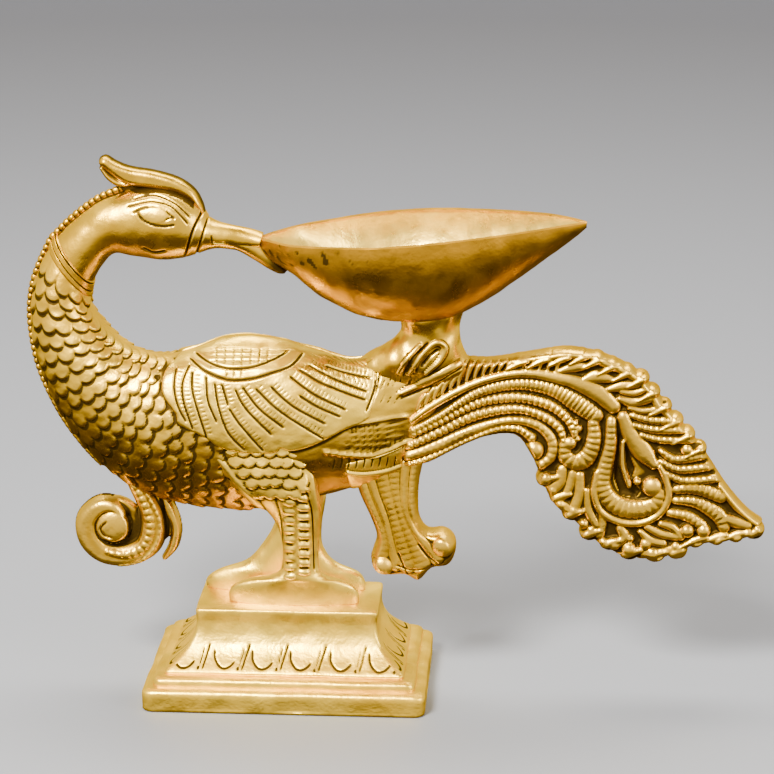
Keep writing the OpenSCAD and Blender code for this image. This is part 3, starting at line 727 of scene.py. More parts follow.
def chase_rump(relief):
    """The straps, hatching and leaf loops where the tail grows out of the body."""
    # The two edges of the strap, with slanted ticks between them, and the line above it.
    relief.rib([[10, 67.4, 0.5], [16, 66.6, 0.6], [23, 66.6, 0.7], [29, 69, 0.7], [34, 71.6, 0.6]], 0.8)
    relief.rib([[16, 61.8, 0.5], [21, 61.6, 0.6], [27, 62.6, 0.7], [32, 64.6, 0.7], [36, 66.4, 0.6]], 0.8)
    relief.rib([[15.8, 75.4, 0.5], [22, 76, 0.5], [29, 77.6, 0.5], [32.6, 77.8, 0.5]], 0.5)
    for x in np.arange(12, 31, 2.1):
        foot = 63 + 0.1 * (x - 18)
        tick = [[x, foot], [x + 0.4, foot + 1.4], [x + 0.5, foot + 2.6]]
        relief.groove(tick, 0.45, 0.35, steps=2, shade=0.8)

    # Faint cross-hatching between strap and line.
    for k in range(5):
        level = [[16.6 - 0.4 * k, 74.4 - 1.5 * k], [23, 75 - 1.6 * k], [31.4, 76.4 - 1.6 * k]]
        relief.groove(level, 0.3, 0.2, shade=0.3)
    for k in range(13):
        upright = [[16.6 + 1.2 * k, 68], [17.4 + 1.2 * k, 71.6], [17.2 + 1.2 * k, 75.4]]
        relief.groove(upright, 0.22, 0.12, steps=3, shade=0.2)

    # Lines and short cuts between the wing and the stem.
    relief.groove([[24.6, 89.6], [23.6, 84.6], [20.6, 77.6]], 0.6, 0.9)
    relief.groove([[30, 85], [33.6, 88.4], [32.6, 96]], 0.35, 0.4)
    for k in range(4):
        cut = [[25.2 + 1.7 * k, 85.4 + 0.5 * k], [26.6 + 1.7 * k, 88.6 + 0.5 * k]]
        relief.groove(cut, 0.35, 0.35, steps=2, shade=0.5)
    for k in range(3):
        relief.groove([[25 + 2 * k, 81.4], [26.4 + 2 * k, 84]], 0.3, 0.25, steps=2, shade=0.4)

    # The leaf loops at the foot of the stem.
    loop = [[33.4, 90, 0.5], [36.4, 95.4, 0.8], [40.2, 98.8, 0.9], [42.6, 97.8, 0.9], [41.4, 94.2, 0.8],
            [37.6, 90.4, 0.5]]
    relief.rib(loop, 0.9)
    relief.groove([[36.6, 92.4], [38.6, 95], [40.8, 96.8]], 0.6, 0.9, steps=3)
    relief.rib([[30.2, 90.2, 0.5], [32.6, 94.4, 0.7], [36, 98.2, 0.7]], 0.7)
    relief.groove([[32, 90.6], [34.6, 95], [38, 98.6]], 0.5, 0.7)
    relief.rib([[31, 84.6, 0.9], [37, 87.6, 1.1], [43, 90.8, 1.1], [47.6, 94, 0.9]], 0.9)
    relief.groove([[31, 83.2], [38, 86.4], [47, 92]], 0.4, 0.6)


def skin_distances(grid):
    """Distances over the skin: along it from its first ring, and around it from its outer edge."""
    n, m = grid.shape[:2]
    outer = m // 2
    along_steps = np.linalg.norm(np.diff(grid, axis=0), axis=-1)
    along = np.vstack([np.zeros(m), np.cumsum(along_steps, 0)])
    around_steps = np.linalg.norm(np.roll(grid, -1, 1) - grid, axis=-1)
    around = np.zeros((n, m))
    around[:, outer + 1:] = np.cumsum(around_steps[:, outer:-1], 1)
    around[:, :outer] = -np.cumsum(around_steps[:, outer - 1::-1], 1)[:, ::-1]
    return along, around


def scale_places(middle, around, first, last, pitch_along, pitch_around):
    """The row, ring and distance around of each scale. Every other row is half a pitch over."""
    for row in range(int((last - first) / pitch_along)):
        ring = int(np.searchsorted(middle, first + row * pitch_along))
        if ring >= len(middle) - 2:
            return
        reach = around[ring, -1]
        count = int(reach / pitch_around)
        for k in range(-count, count + 1):
            v = (k + 0.5 * (row % 2)) * pitch_around + rng.normal(0, 0.25)
            if 1 <= abs(v) <= reach - 0.5 * pitch_around:
                yield row, ring, v


def lay_scales(grid, h, first, last, pitch_along, pitch_around, lift):
    """Raises rows of overlapping scales in the heights h, their tips towards the tail, and gives
    back the dark crescents below the tips: patina and painted shade in one."""
    along, around = skin_distances(grid)
    n, m = h.shape
    middle = along[:, m // 4]
    half_width = 0.57 * pitch_around
    owner = np.full((n, m), -1)
    tips = []
    for row, i, v in scale_places(middle, around, first, last, pitch_along, pitch_around):
        j = int(np.argmin(np.abs(around[i] - v)))
        before = max(i - 5, 0)
        after = min(i + 5, n - 1)
        stretch = (along[after, j] - along[before, j]) / max(middle[after] - middle[before], 1e-6)
        length = 0.8 * pitch_along * np.clip(stretch, 0.75, 1.35)
        window = np.s_[max(i - 22, 0):i + 22, max(j - 18, 0):j + 18]
        u = (along[window] - along[i, window[1]] + rng.normal(0, 0.4)) / length
        aside = np.abs((around[window] - v) / half_width)
        off = np.hypot(aside, np.maximum(u, 0))
        rise = lift * rng.uniform(0.85, 1.1) * np.clip(0.4 + 0.6 * u, 0.02, 1)
        rise = rise * (1 - np.clip(off, 0, 1) ** 16) * (1 - 0.2 * np.clip(aside, 0, 1) ** 2)
        hit = (off < 1) & (u > -1.5) & (rise > h[window])
        h[window] = np.where(hit, rise, h[window])
        owner[window] = np.where(hit, row, owner[window])
        tips.append((row, window, off, aside))
    dark = np.zeros((n, m))
    for row, window, off, aside in tips:
        shade = np.clip((1.34 - off) / 0.26, 0, 1) * (off > 0.97)
        shade = shade * np.clip((0.84 - aside) * 3, 0, 1)
        dark[window] = np.maximum(dark[window], np.where(owner[window] != row, shade, 0))
    return dark


def shade_beside_beads(grid, last):
    """Painted shade on both sides of the row of beads, down to a last ring."""
    step = np.linalg.norm(np.roll(grid, -1, 1) - grid, axis=-1).mean(1, keepdims=True)
    away = np.abs(np.arange(grid.shape[1]) - grid.shape[1] / 2) * step
    return np.exp(-(((away - 1.6) / 1.1) ** 2)) * (np.arange(len(grid)) < last)[:, None]


def body():
    steps = 25
    grid = skin(NECK, LAST, steps, ring_angles(208))
    normal = normals(grid, True)
    x, z = on_drawing(grid)
    scaly = np.zeros(x.shape)
    crescents = lay_scales(grid, scaly, 1.6, 92, 3.8, 4.5, 0.7)
    under_wing = inside_distance(x, z, smooth(WING_OUTLINE, 3))
    fade = np.clip((-7 - x) / 4, 0, 1) * np.clip(1 - under_wing / 0.8, 0, 1)
    relief = Relief(x, z)
    relief.h = scaly * fade
    relief.dark = 1.5 * crescents * fade
    chase_rump(relief)
    relief.pit(-36.2, 87.8, 0.9, 0.8)
    # Along the wing's standing edge, and beside the beads, the body gets painted shade.
    wing_edge_shade = np.exp(-(under_wing**2)) * wing_stands(x, z)
    cavity = relief.cavity(2, True) + 0.7 * shade_beside_beads(grid, 6.4 * steps) + 1.1 * wing_edge_shade
    rings = grid + normal * (relief.h + uneven(grid, 3))[..., None]
    place_piece("body_casting", solid_of_rings(rings, cavity), body_brass, "body")


# ---- Wings ----

WING_OUTLINE = [
    [-27.6, 97], [-31, 93], [-34, 89], [-35, 84.4], [-34, 81.5], [-31.2, 77.4], [-30.3, 74.4],
    [-23, 70.9], [-20, 68.5], [-14.7, 67], [-9.4, 66.5], [-3.5, 67], [-2.3, 68.3], [0, 67.6],
    [4.7, 68.5], [10, 70.9], [15.3, 73.8], [21.2, 76.4], [23, 80.3], [24.7, 89.7], [25, 97], [10, 102],
    [-14, 106],
]
FEATHERS = [
    [[-30.3, 90], [-31.2, 85], [-30.3, 79.7], [-28.2, 75.6]],
    [[-26.6, 91], [-28.8, 86], [-28.6, 80.6], [-26.4, 73.6]],
    [[-25.9, 89.1], [-26.2, 84.4], [-25, 79.1], [-22.6, 71.2]],
    [[-22.3, 87.9], [-22, 81.5], [-19.7, 75.6]],
    [[-20, 86.2], [-19.1, 79.7], [-16.5, 72.6], [-12, 67.9]], [[-18, 85.9], [-16.5, 80.3]],
    [[-16.2, 79.4], [-13.2, 75], [-7, 67.8]], [[-14.4, 84.7], [-11.8, 79.7], [-4.7, 72.4]],
    [[-12.4, 85.4], [-8, 79.6], [-1.4, 74.4]], [[-8.8, 85], [-1.8, 78.5], [9.4, 71.5]],
    [[-4.7, 85.6], [1.2, 80.3], [10, 75.6]], [[3, 83.2], [8, 80.2], [14.1, 77.6]],
    [[0.3, 88.5], [7, 83.6], [15.6, 79.6]], [[2.9, 90.3], [10, 86.2], [21.2, 82.4]],
    [[5.4, 91.6], [12, 88], [21.6, 84.8]], [[10, 91.4], [15, 89.8], [22.4, 88.6]],
]
SHOULDER = [
    [[-26.6, 93], [-22.6, 89.6], [-16.5, 87.3], [-10, 87.6], [-4.7, 89.2], [0.6, 91.4], [3.8, 95]],
    [[-25, 94.7], [-21.4, 92], [-16.5, 90.4], [-10, 90.8], [-4, 93.2], [0, 95.9]],
]


def wing_stands(x, z):
    """How far a wing stands out: fully at its front and low edge, and not where it runs into the
    back and the rump."""
    return np.clip((25 - x) / 14, 0, 1) * np.clip((97 - z) / 7, 0, 1)


def chase_wing(relief):
    for points in SHOULDER:
        relief.groove(points, 0.6, 0.6)
    for points in FEATHERS:
        relief.groove(points, 0.52, 0.55)
    for points in FEATHERS[:3]:
        relief.ticks(points, 0.7, 2.1, 1.2, 0.2, width=0.24)
    for points in FEATHERS[4:]:
        relief.ticks(points, 0.6, 2, 1.1, 0.18, width=0.24)
    relief.groove([[24, 91], [23.6, 85.6], [21.4, 79.4]], 0.6, 0.5)

    # The net on the shoulder: uprights, levels and three short lines below them.
    for k in range(7):
        upright = [[-19.6 + 2.4 * k, 96.4], [-19.4 + 2.3 * k, 91.4 + 0.2 * abs(k - 2)]]
        relief.groove(upright, 0.24, 0.24, steps=2, shade=0.5)
    for z in (92.6, 94.2, 95.8):
        level = [[-21, z], [-12, z + 0.3], [-2 + 2 * (z - 94), z + 0.2]]
        relief.groove(level, 0.24, 0.2, steps=4, shade=0.4)
    for x in (-16.6, -14.6, -12.6):
        relief.groove([[x, 90], [x, 87.8]], 0.24, 0.3, steps=2)

    # Faint slanted cuts where the wing runs into the rump.
    for k in range(9):
        cut = [[9 + 1.5 * k, 91.2 - 0.3 * k], [10 + 1.5 * k, 87.6 - 0.3 * k]]
        relief.groove(cut, 0.25, 0.14, steps=2, shade=0.6)
    for k in range(8):
        cut = [[6 + 2 * k, 95 - 0.3 * k], [8.6 + 2 * k, 93.6 - 0.3 * k]]
        relief.groove(cut, 0.25, 0.14, steps=2, shade=0.6)


def wing(side):
    angles = np.linspace(6, 128, 190) * DEG
    if side == FAR:
        angles = 2 * np.pi - angles
    grid = skin(NECK + 5.6, NECK + 12.9, 34, angles)
    normal = normals(grid, False)
    normal *= np.sign((normal[..., 1] * side).sum())
    x, z = on_drawing(grid)
    edge = inside_distance(x, z, smooth(WING_OUTLINE, 3))
    relief = Relief(x, z)
    chase_wing(relief)
    stands = wing_stands(x, z)
    # The wing's standing edge is painted dark: painted shade.
    cavity = relief.cavity(2) + 0.8 * np.exp(-((edge / 0.4) ** 2)) * stands
    lift = 0.12 + stands * (1.1 + 0.5 * rounded(edge, 9))
    h = lift * rounded(edge, 0.8) + relief.h + uneven(grid, 3)
    name = "near_wing" if side == NEAR else "far_wing"
    solid = shell(grid, normal, np.maximum(h, -0.3), 0.7 + 0 * h, edge, cavity)
    place_piece(name + "_casting", solid, wing_brass, name)


# ---- Head, collar, beads and crest ----


# The lower half of the beak, as rows of upper edge x, z, lower edge x, z, half thickness.
JAW_ROWS = [
    [-18, 127.6, -18.6, 125, 2.6], [-12, 128.2, -13.4, 123.9, 2.9], [-7.6, 127.4, -8.6, 121.2, 2.9],
    [-4.2, 124, -5.4, 119.2, 2.8], [-1, 120.4, -2.6, 117.8, 2.3], [0.4, 119, -0.8, 117.6, 1],
]
# Lines chiselled into the head, each with its width and depth: two over the eye as its brow,
# three around the eye, one on the cheek and two across the root of the beak. Then the short ones.
HEAD_LINES = [
    ([[-43, 135.6], [-39, 136.6], [-36, 137], [-31, 135.6], [-26.7, 131]], 0.42, 0.5),
    ([[-41.5, 137.7], [-36, 138.9], [-30, 136.5], [-26.2, 133]], 0.42, 0.5),
    ([[-40.4, 134.4], [-38.4, 135.3], [-35.5, 135.4], [-32.6, 134.2], [-30.4, 132.4]], 0.38, 0.45),
    ([[-40.4, 134.4], [-39.2, 132], [-36, 130.4], [-33, 130.1], [-30.4, 130.5]], 0.38, 0.45),
    ([[-39.8, 132.8], [-37.8, 131.4], [-34.5, 131.3], [-31.2, 132.6], [-30.4, 132.4]], 0.32, 0.4),
    ([[-39, 124.2], [-36, 123], [-33, 123.5]], 0.42, 0.5),
    ([[-22.2, 135.4], [-25.2, 129.4], [-27.5, 122.4]], 0.55, 0.9),
    ([[-21.2, 132.6], [-23, 127], [-24.4, 122.8]], 0.5, 0.7),
]
SHORT_HEAD_LINES = [
    ([[-41.6, 133.8], [-40.4, 134.4]], 0.36, 0.45), ([[-20.4, 127.6], [-20.2, 125.4]], 0.35, 0.4),
    ([[-19.8, 125.9], [-17, 125.9]], 0.35, 0.5),
]
# The crest and the lip under it, as rows of x, z, half width.
CREST_ROWS = [
    [-48.6, 147.9, 1.8], [-46.2, 146.2, 2], [-42, 144.1, 2.6], [-36, 143.2, 2.6], [-30, 141.9, 2.2],
    [-26, 139.7, 1.8], [-23.8, 137, 1.3], [-22.6, 134.6, 0.8], [-22, 132.8, 0.3],
]
CREST_LIP_ROWS = [[-49.6, 146.2, 0.7], [-47.6, 143.6, 0.9], [-44.6, 142, 1], [-41, 142.4, 0.6]]
# The sunk web between crest, lip and crown.
CREST_WEB = [
    [-49.6, 147], [-46, 146], [-34, 142.5], [-34, 140.2], [-40, 139.6], [-43.4, 139.2], [-45.4, 141.6],
    [-47.6, 143.6],
]


def chase_head(relief):
    for points, width, depth in HEAD_LINES:
        relief.groove(points, width, depth)
    for points, width, depth in SHORT_HEAD_LINES:
        relief.groove(points, width, depth, steps=2)
    relief.ball(-35.8, 133.2, 2.4, 0.16, stretch=1.5)


def jaw():
    """The beak's lower half, darker towards its end on the bowl."""
    rings = oval_rings(smooth(JAW_ROWS, 10), ring_angles(40))
    return solid_of_rings(rings, np.clip((rings[..., 0] + 9) / 8, 0, 0.7))


def head():
    steps = 28
    grid = skin(0, NECK - 1, steps, ring_angles(176))
    normal = normals(grid, True)
    relief = Relief(*on_drawing(grid))
    chase_head(relief)
    x, y, z = np.moveaxis(grid, -1, 0)
    crest_line = smooth(CREST_ROWS, 4)
    above = z - np.interp(x, crest_line[:, 0], crest_line[:, 1] - crest_line[:, 2])
    beneath = (x < -24.5) & (x > -46) & (np.abs(y) < 4.4)
    crest_shadow = np.clip(1 + (above + 0.7) / 0.6, 0, 1) * beneath
    beaded = (np.arange(len(grid)) > 7.2 * steps)[:, None]
    bead_shade = beaded * shade_beside_beads(grid, len(grid))
    # The head is painted dark under the crest and beside the beads: painted shadow and painted shade.
    cavity = relief.cavity(2, True) + 1.1 * crest_shadow + 0.8 * bead_shade
    rings = grid + normal * (relief.h + 0.8 * uneven(grid, 11))[..., None]
    solid = joined([solid_of_rings(rings, cavity), jaw()])
    place_piece("head_casting", solid, head_brass, "head")


def band_edge(relief, rows):
    """How far each grid point lies inside a band, below 0 outside it."""
    found = relief.trace(smooth(rows, 6), 6)
    edge = np.full(relief.x.shape, -3.0)
    window, d, _, _, width, _ = found
    edge[window] = width - d
    return edge


def crest():
    x, z, base, normal = plane_grid((-53, -20), (134, 152), step=0.2)
    relief = Relief(x, z)
    tip_x, tip_z, tip_r = CREST_ROWS[0]
    main = np.maximum(band_edge(relief, CREST_ROWS), tip_r - np.hypot(x - tip_x, z - tip_z))
    lip = band_edge(relief, CREST_LIP_ROWS)
    web = inside_distance(x, z, CREST_WEB)
    h = np.maximum(3 * rounded(main, 1.9), 2.2 * rounded(lip, 0.9))
    h = np.maximum(h, np.where(web > 0, 1.3, 0))
    strips = np.maximum(main, lip)
    # The sunk web and the strips' edges are painted dark: painted shade.
    deep = np.exp(-((strips / 0.5) ** 2)) + 1.2 * (strips < 0)
    solid = shell(base, normal, h, h, np.maximum(strips, web), 0.8 * deep)
    place_piece("crest_casting", solid, head_brass, "crest")


def collar():
    """A ring with a round lip at both edges and two lines around it."""
    grid = skin(NECK - 1.06, NECK + 0.1, 60, ring_angles(150))
    normal = normals(grid, True)
    t = np.linspace(0, 1, len(grid))[:, None] + 0 * grid[..., 0]
    lip = rounded(np.minimum(t, 1 - t), 0.12)
    lines = sum(np.clip(1 - np.abs(t - place) / 0.06, 0, 1) for place in (0.14, 0.62))
    rings = grid + normal * (-0.3 + 0.75 * lip - 0.8 * lines)[..., None]
    solid = solid_of_rings(rings, 1.3 * lines + 0.5 * (1 - lip))
    place_piece("collar_casting", solid, trim_brass, "neck_collar")


def beading():
    """A string of beads along the nape, which becomes a rope down the breast."""
    edge = skin(7, NECK + 6, 40, np.array([np.pi]))[:, 0]
    step = np.linalg.norm(np.diff(edge, axis=0), axis=1)
    run = np.concatenate([[0], np.cumsum(step)])
    even = np.linspace(0, run[-1], int(run[-1] / 0.13))
    line = np.stack([np.interp(even, run, edge[:, k]) for k in range(3)], -1)
    tangent = np.gradient(line, axis=0)
    tangent /= np.linalg.norm(tangent, axis=1, keepdims=True)
    out = np.stack([tangent[:, 2], 0 * even, -tangent[:, 0]], -1)
    out *= np.sign(((line - [-45, 0, 110]) * out).sum(1))[:, None]
    pitch = 1.8
    phase = (even / pitch) % 1 * 2 - 1
    rope = np.clip((even - 62) / 12, 0, 1)
    ball = np.sqrt(np.clip(1 - phase**2, 0, 1))
    radius = 0.98 * (0.5 + 0.5 * ball) * (1 - rope) + rope * 0.8 * (0.85 + 0.15 * ball)
    angles = ring_angles(18)
    width = np.array([0, 1.1, 0])
    ring = out[:, None] * np.cos(angles)[:, None] + width * np.sin(angles)[:, None]
    rings = (line + 0.62 * out)[:, None] + ring * radius[:, None, None]
    cavity = (1.3 * (1 - ball) * (1 - 0.6 * rope))[:, None] + 0 * angles
    place_piece("nape_beads", solid_of_rings(rings, cavity), trim_brass, "nape_beading")


# ---- Breast scroll ----

# Bands and ribs as rows of x, z, half width, and outlines as points x, z.
VOLUTE = [
    [-46, 66, 2.4], [-42.6, 59.6, 3], [-39.2, 53, 3.4], [-37.8, 46, 3.8], [-39.8, 39.8, 3.8],
    [-45.6, 36.9, 3.6], [-51.8, 37.6, 3.7], [-55.6, 41.6, 3.9], [-56, 46.8, 3.7], [-52.8, 50.6, 3.2],
    [-49.2, 51, 2.7], [-46.6, 48.6, 2.2],
]
SCROLL_STRIP = [[-40, 60, 1.6], [-34.6, 53, 1.8], [-31.6, 46, 1.5], [-32.4, 40, 1.5], [-35, 36, 0.9]]
SCROLL_BEADS = [
    [-44, 60, 1.5], [-39.8, 52, 1.6], [-38.4, 45.6, 1.6], [-40.6, 39.8, 1.5], [-45.4, 37.6, 1.3],
    [-50.4, 38.4, 1],
]
SCROLL_RIM = [
    [-44, 64, 0.8], [-39.2, 56, 0.8], [-35.6, 48, 0.8], [-36.4, 41, 0.8], [-41.4, 35.2, 0.8],
    [-47.4, 33.8, 0.8],
]
SCROLL_BRIDGE = [[-48, 64], [-42, 66], [-33, 53], [-31.4, 44], [-36, 40], [-44, 40], [-42, 50]]
KNOB = (-49, 45.4)


def breast_scroll():
    x, z, base, normal = plane_grid((-62, -27), (31, 70), step=0.24)
    relief = Relief(x, z)
    from_knob = np.hypot(x - KNOB[0], z - KNOB[1])
    knob = 4.9 - from_knob
    disc = 8.4 - from_knob
    volute = band_edge(relief, VOLUTE)
    strip = band_edge(relief, SCROLL_STRIP)
    bridge = inside_distance(x, z, SCROLL_BRIDGE)
    edge = np.maximum.reduce([volute, knob, strip, bridge, disc])
    h = np.where(np.maximum(bridge, disc) > 0, 1.9, 0.0)
    h = np.maximum(h, 4.2 * rounded(volute, 2.6))
    h = np.maximum(h, 3 * rounded(strip, 1.2))
    h = np.maximum(h, np.where(knob > 0, 3.4 + 1.6 * rounded(knob, 4.2) * (knob > 0.4), 0))
    relief.h = h
    relief.ground = h - 0.4
    relief.rib(SCROLL_RIM, 1.1, 0.25, 1.9)
    relief.rib(SCROLL_BEADS, 1, 0.4, 2)
    relief.groove([[-45.2, 49.4], [-44.2, 46], [-45.2, 42.6], [-48.4, 41], [-51.6, 41.8]], 0.6, 1.2)
    relief.groove([[-50.6, 47.2], [-52.2, 45.4], [-51.4, 43.4], [-49.2, 42.6]], 0.5, 0.5)
    relief.groove([[-36, 56], [-34.6, 50], [-34, 44.4], [-35, 39.4]], 0.7, 1.2)
    h = relief.h * rounded(edge, 1.2)
    back = np.where(edge > 0, blurred(h, 2), 0)
    relief.ground = np.zeros(x.shape)
    # Parts lower than the volute and knob are painted darker: painted shade.
    cavity = relief.cavity(3) + 0.2 * np.clip((3.4 - relief.h) / 2, 0, 1)
    solid = shell(base, normal, h, back, edge, cavity)
    place_piece("breast_scroll_casting", solid, trim_brass, "breast_scroll")


# ---- Plume under the tail ----

PLUME_OUTLINE = [
    [17.5, 68], [18, 62], [19.5, 56], [22.6, 49], [24.2, 44], [23.4, 40.6], [22.6, 37.4], [23.6, 34],
    [27, 32.4], [32, 32.6], [36, 31], [39.5, 34.6], [44, 35.6], [46, 39], [46, 43.4], [43, 46],
    [38.6, 45.8], [36.2, 49], [35.7, 54], [36, 60], [37, 66], [36, 71], [26, 71],
]
# Each flute: rows of x, z, half width, and how deep it is beaded.
PLUME_FLUTES = [
    ([[19.6, 63, 1], [21.8, 56, 1.1], [24.6, 49, 1.1], [26.4, 43, 1.3], [26, 38.6, 1.6]], 0.0525),
    ([[22.2, 64, 1], [24, 57, 1], [26.6, 50, 0.9], [28, 44, 1], [29.6, 36, 1.1]], 0),
    ([[25.4, 64, 1.6], [27, 58, 1.5], [29, 51, 1.2], [31, 44, 1.6], [33, 37, 2]], 0.07),
    ([[29.2, 65, 1.4], [29.6, 58, 1.2], [31, 51, 1], [33.6, 44, 1.5], [36.4, 37, 2]], 0.07),
    ([[32.4, 65.6, 1], [32, 58, 1], [32.6, 51, 0.9], [36, 45, 1], [41, 38.6, 1.3]], 0),
    ([[35, 66, 0.9], [34.4, 59, 1], [34.4, 52, 0.9], [37.2, 47.4, 1.1], [41, 44.6, 1.5]], 0.0525),
]


def plume():
    x, z, base, normal = plane_grid((15, 49), (28, 72), step=0.24)
    edge = inside_distance(x, z, smooth(PLUME_OUTLINE + PLUME_OUTLINE[:1], 4)[:-1])
    relief = Relief(x, z, 3.8)
    for rows, bead in PLUME_FLUTES:
        relief.rib(wider(rows, 1.55), 1.2, bead, 1.7)
    relief.ball(26, 36, 3.1, 2.4)
    relief.ball(42.8, 42.2, 3.3, 2.4)
    relief.groove([[30.4, 40], [33, 33.4]], 0.4, 0.6, steps=3)
    relief.groove([[36, 42.6], [38.4, 39.4], [41.4, 37]], 0.4, 0.6)
    relief.groove([[30, 36.4], [34, 35], [38, 35.4]], 0.4, 0.6)
    cavity = 0.8 * relief.cavity(3) * np.clip(edge / 1.6, 0, 1)
    h = relief.h * rounded(edge, 2.2)
    solid = shell(base, normal, h, h, edge, cavity)
    place_piece("plume_casting", solid, tail_brass, "undertail_plume")


# ---- Rump band, stem and bowl ----


def rump_band():
    grid = skin(NECK + 11.6, NECK + 13.6, 60, np.linspace(118, 242, 150) * DEG)
    normal = normals(grid, False)
    x, z = on_drawing(grid)
    t = np.linspace(0, 1, x.shape[0])[:, None]
    s = np.linspace(0, 1, x.shape[1])[None]
    edge = np.minimum(np.minimum(t, 1 - t) * 16, np.minimum(s, 1 - s) * 40) - 0.05
    relief = Relief(x, z)
    chase_rump(relief)
    h = relief.h + 0.5 * rounded(edge, 3)
    solid = shell(grid, normal, np.maximum(h, 0.05), 0.5 + 0 * h, edge, relief.cavity(2))
    place_piece("rump_band_casting", solid, wing_brass, "rump_band")


# Each row: height, middle x, half length x, half thickness y. The foot runs far up the back.
STEM_ROWS = [
    [86, 32.6, 15, 3.6], [89, 33.4, 17.6, 5.6], [92, 34, 16.6, 7.2], [94.6, 34.8, 14.4, 8],
    [97, 36, 12.2, 8.2], [99.4, 37.6, 9.8, 8], [102, 38.8, 8.2, 7.9], [104, 39, 8, 8],
    [106, 39, 8.2, 8.2], [108, 39.2, 8.4, 8.4],
]


def stem():
    line = smooth(STEM_ROWS, 16)
    angles = ring_angles(220)
    height, middle, half_x, half_y = (line[:, k:k + 1] for k in range(4))
    rings = np.stack([middle + half_x * np.cos(angles), half_y * np.sin(angles), height + 0 * angles], -1)
    normal = normals(rings, True)
    wave = 2 * uneven(rings, 21)
    relief = Relief(*on_drawing(rings))
    chase_rump(relief)
    side = (rings[..., 1] * NEAR > 4) | (rings[..., 1] * FAR > 4)
    cavity = relief.cavity(2, True) * side
    rings = rings + normal * (wave + relief.h * side)[..., None]
    place_piece("stem_casting", solid_of_rings(rings, cavity), head_brass, "bowl_stem")


# Each row: x, share of the half width, height of the rim, height of the keel.
BOWL_ROWS = [
    [-9.4, 0.03, 127.5, 126], [-7, 0.1, 127.6, 123.6], [-4, 0.28, 127.8, 121.4], [2, 0.56, 128.2, 118],
    [10, 0.75, 128.8, 111.8], [20, 0.93, 129.7, 107.2], [31, 1, 130.6, 105.4], [42, 0.94, 131.4, 106],
    [52, 0.8, 132, 110.4], [62, 0.61, 132.6, 117.2], [71, 0.4, 133, 123.8], [77, 0.2, 133, 128.4],
    [80.6, 0.05, 132.8, 131.4],
]
BOWL_HALF_W = 24.6
BOWL_WALL = 2.4
BOWL_MIDDLE = np.array([33.8, 0, 150])     # dents push the bowl's skin towards this place


def bowl():
    line = smooth(BOWL_ROWS, 16)
    x, share, rim, keel = (line[:, k:k + 1] for k in range(4))
    half = share * BOWL_HALF_W
    angle = np.linspace(0, np.pi, 96)[None]

    def arch(half_w, low):
        drop = (rim - low) * np.sin(angle).clip(1e-9) ** 0.85
        return np.stack([x + 0 * angle, -half_w * np.cos(angle), rim - drop], -1)

    outer = arch(half, keel)
    inner = arch(np.maximum(half - BOWL_WALL, half * 0.3), np.minimum(keel + BOWL_WALL + 0.4, rim - 0.1))
    rings = np.concatenate([outer, inner[:, ::-1]], 1)
    dents = ripple(rings, 12, 31) + 0.5 * ripple(rings, 4, 32)
    inwards = BOWL_MIDDLE - rings
    inwards /= np.linalg.norm(inwards, axis=-1, keepdims=True)
    rings = rings + inwards * (0.07 * dents + 0.05)[..., None]
    outside = np.arange(rings.shape[1]) < outer.shape[1]
    below_rim = rim - rings[..., 2]

    # A dark worn zone under the rim towards the beak, darker dents, and a dark lip inside.
    pits = np.clip(ripple(rings, 2.4, 33) - 0.7, 0, 1)
    worn = np.exp(-(((below_rim - 3) / 3) ** 2)) * np.clip((44 - rings[..., 0]) / 40, 0, 1) * outside
    lip = (np.abs(below_rim) < 0.3) * ~outside
    # The whole inside is painted paler through the rubbed colour: a painted highlight.
    cavity = 0.06 * dents - 0.5 * ~outside + worn * (0.5 + 1.4 * pits) + lip * (0.65 + 0.1 * dents)
    solid = solid_of_rings(rings, cavity, crescent=True)
    place_piece("bowl_casting", solid, bowl_brass, "oil_bowl", sharp=40)


# ---- Legs ----

DECK = 25.4
LEG_Y = 6
# Each row: height, middle x, half length x, half thickness y, how far out from LEG_Y.
THIGH_ROWS = [
    [52.4, 2, 7.6, 4, 1], [59.6, -2.8, 11.6, 4.4, 2.6], [65.6, -6.4, 14, 4.4, 3],
    [69, -7.6, 14, 4.3, 3.1], [72, -8, 13.6, 4.2, 3.1], [75.5, -8, 13, 4.2, 2.9],
]
NEAR_LEG_ROWS = [
    [DECK, 1.5, 18, 3.3, -0.9], [28, 1.5, 18, 3.3, -0.8], [30.4, 1.6, 16.4, 3.3, -0.5],
    [32.2, 2.2, 12.6, 3.4, -0.2], [33.4, 3, 7.8, 3.5, 0], [36, 3.4, 5.2, 3.5, 0],
    [45, 3.4, 5.3, 3.5, 0.2], *THIGH_ROWS,
]
FAR_LEG_ROWS = [
    [DECK, -1.8, 22.4, 4.2, 0], [28, -1.8, 22.2, 4, 0], [30.6, -1, 19.4, 3.8, 0],
    [33.4, -0.4, 12.6, 3.6, 0], [38, 0, 8.6, 3.5, 0], [45, 1.8, 6.6, 3.5, 0.2], *THIGH_ROWS,
]


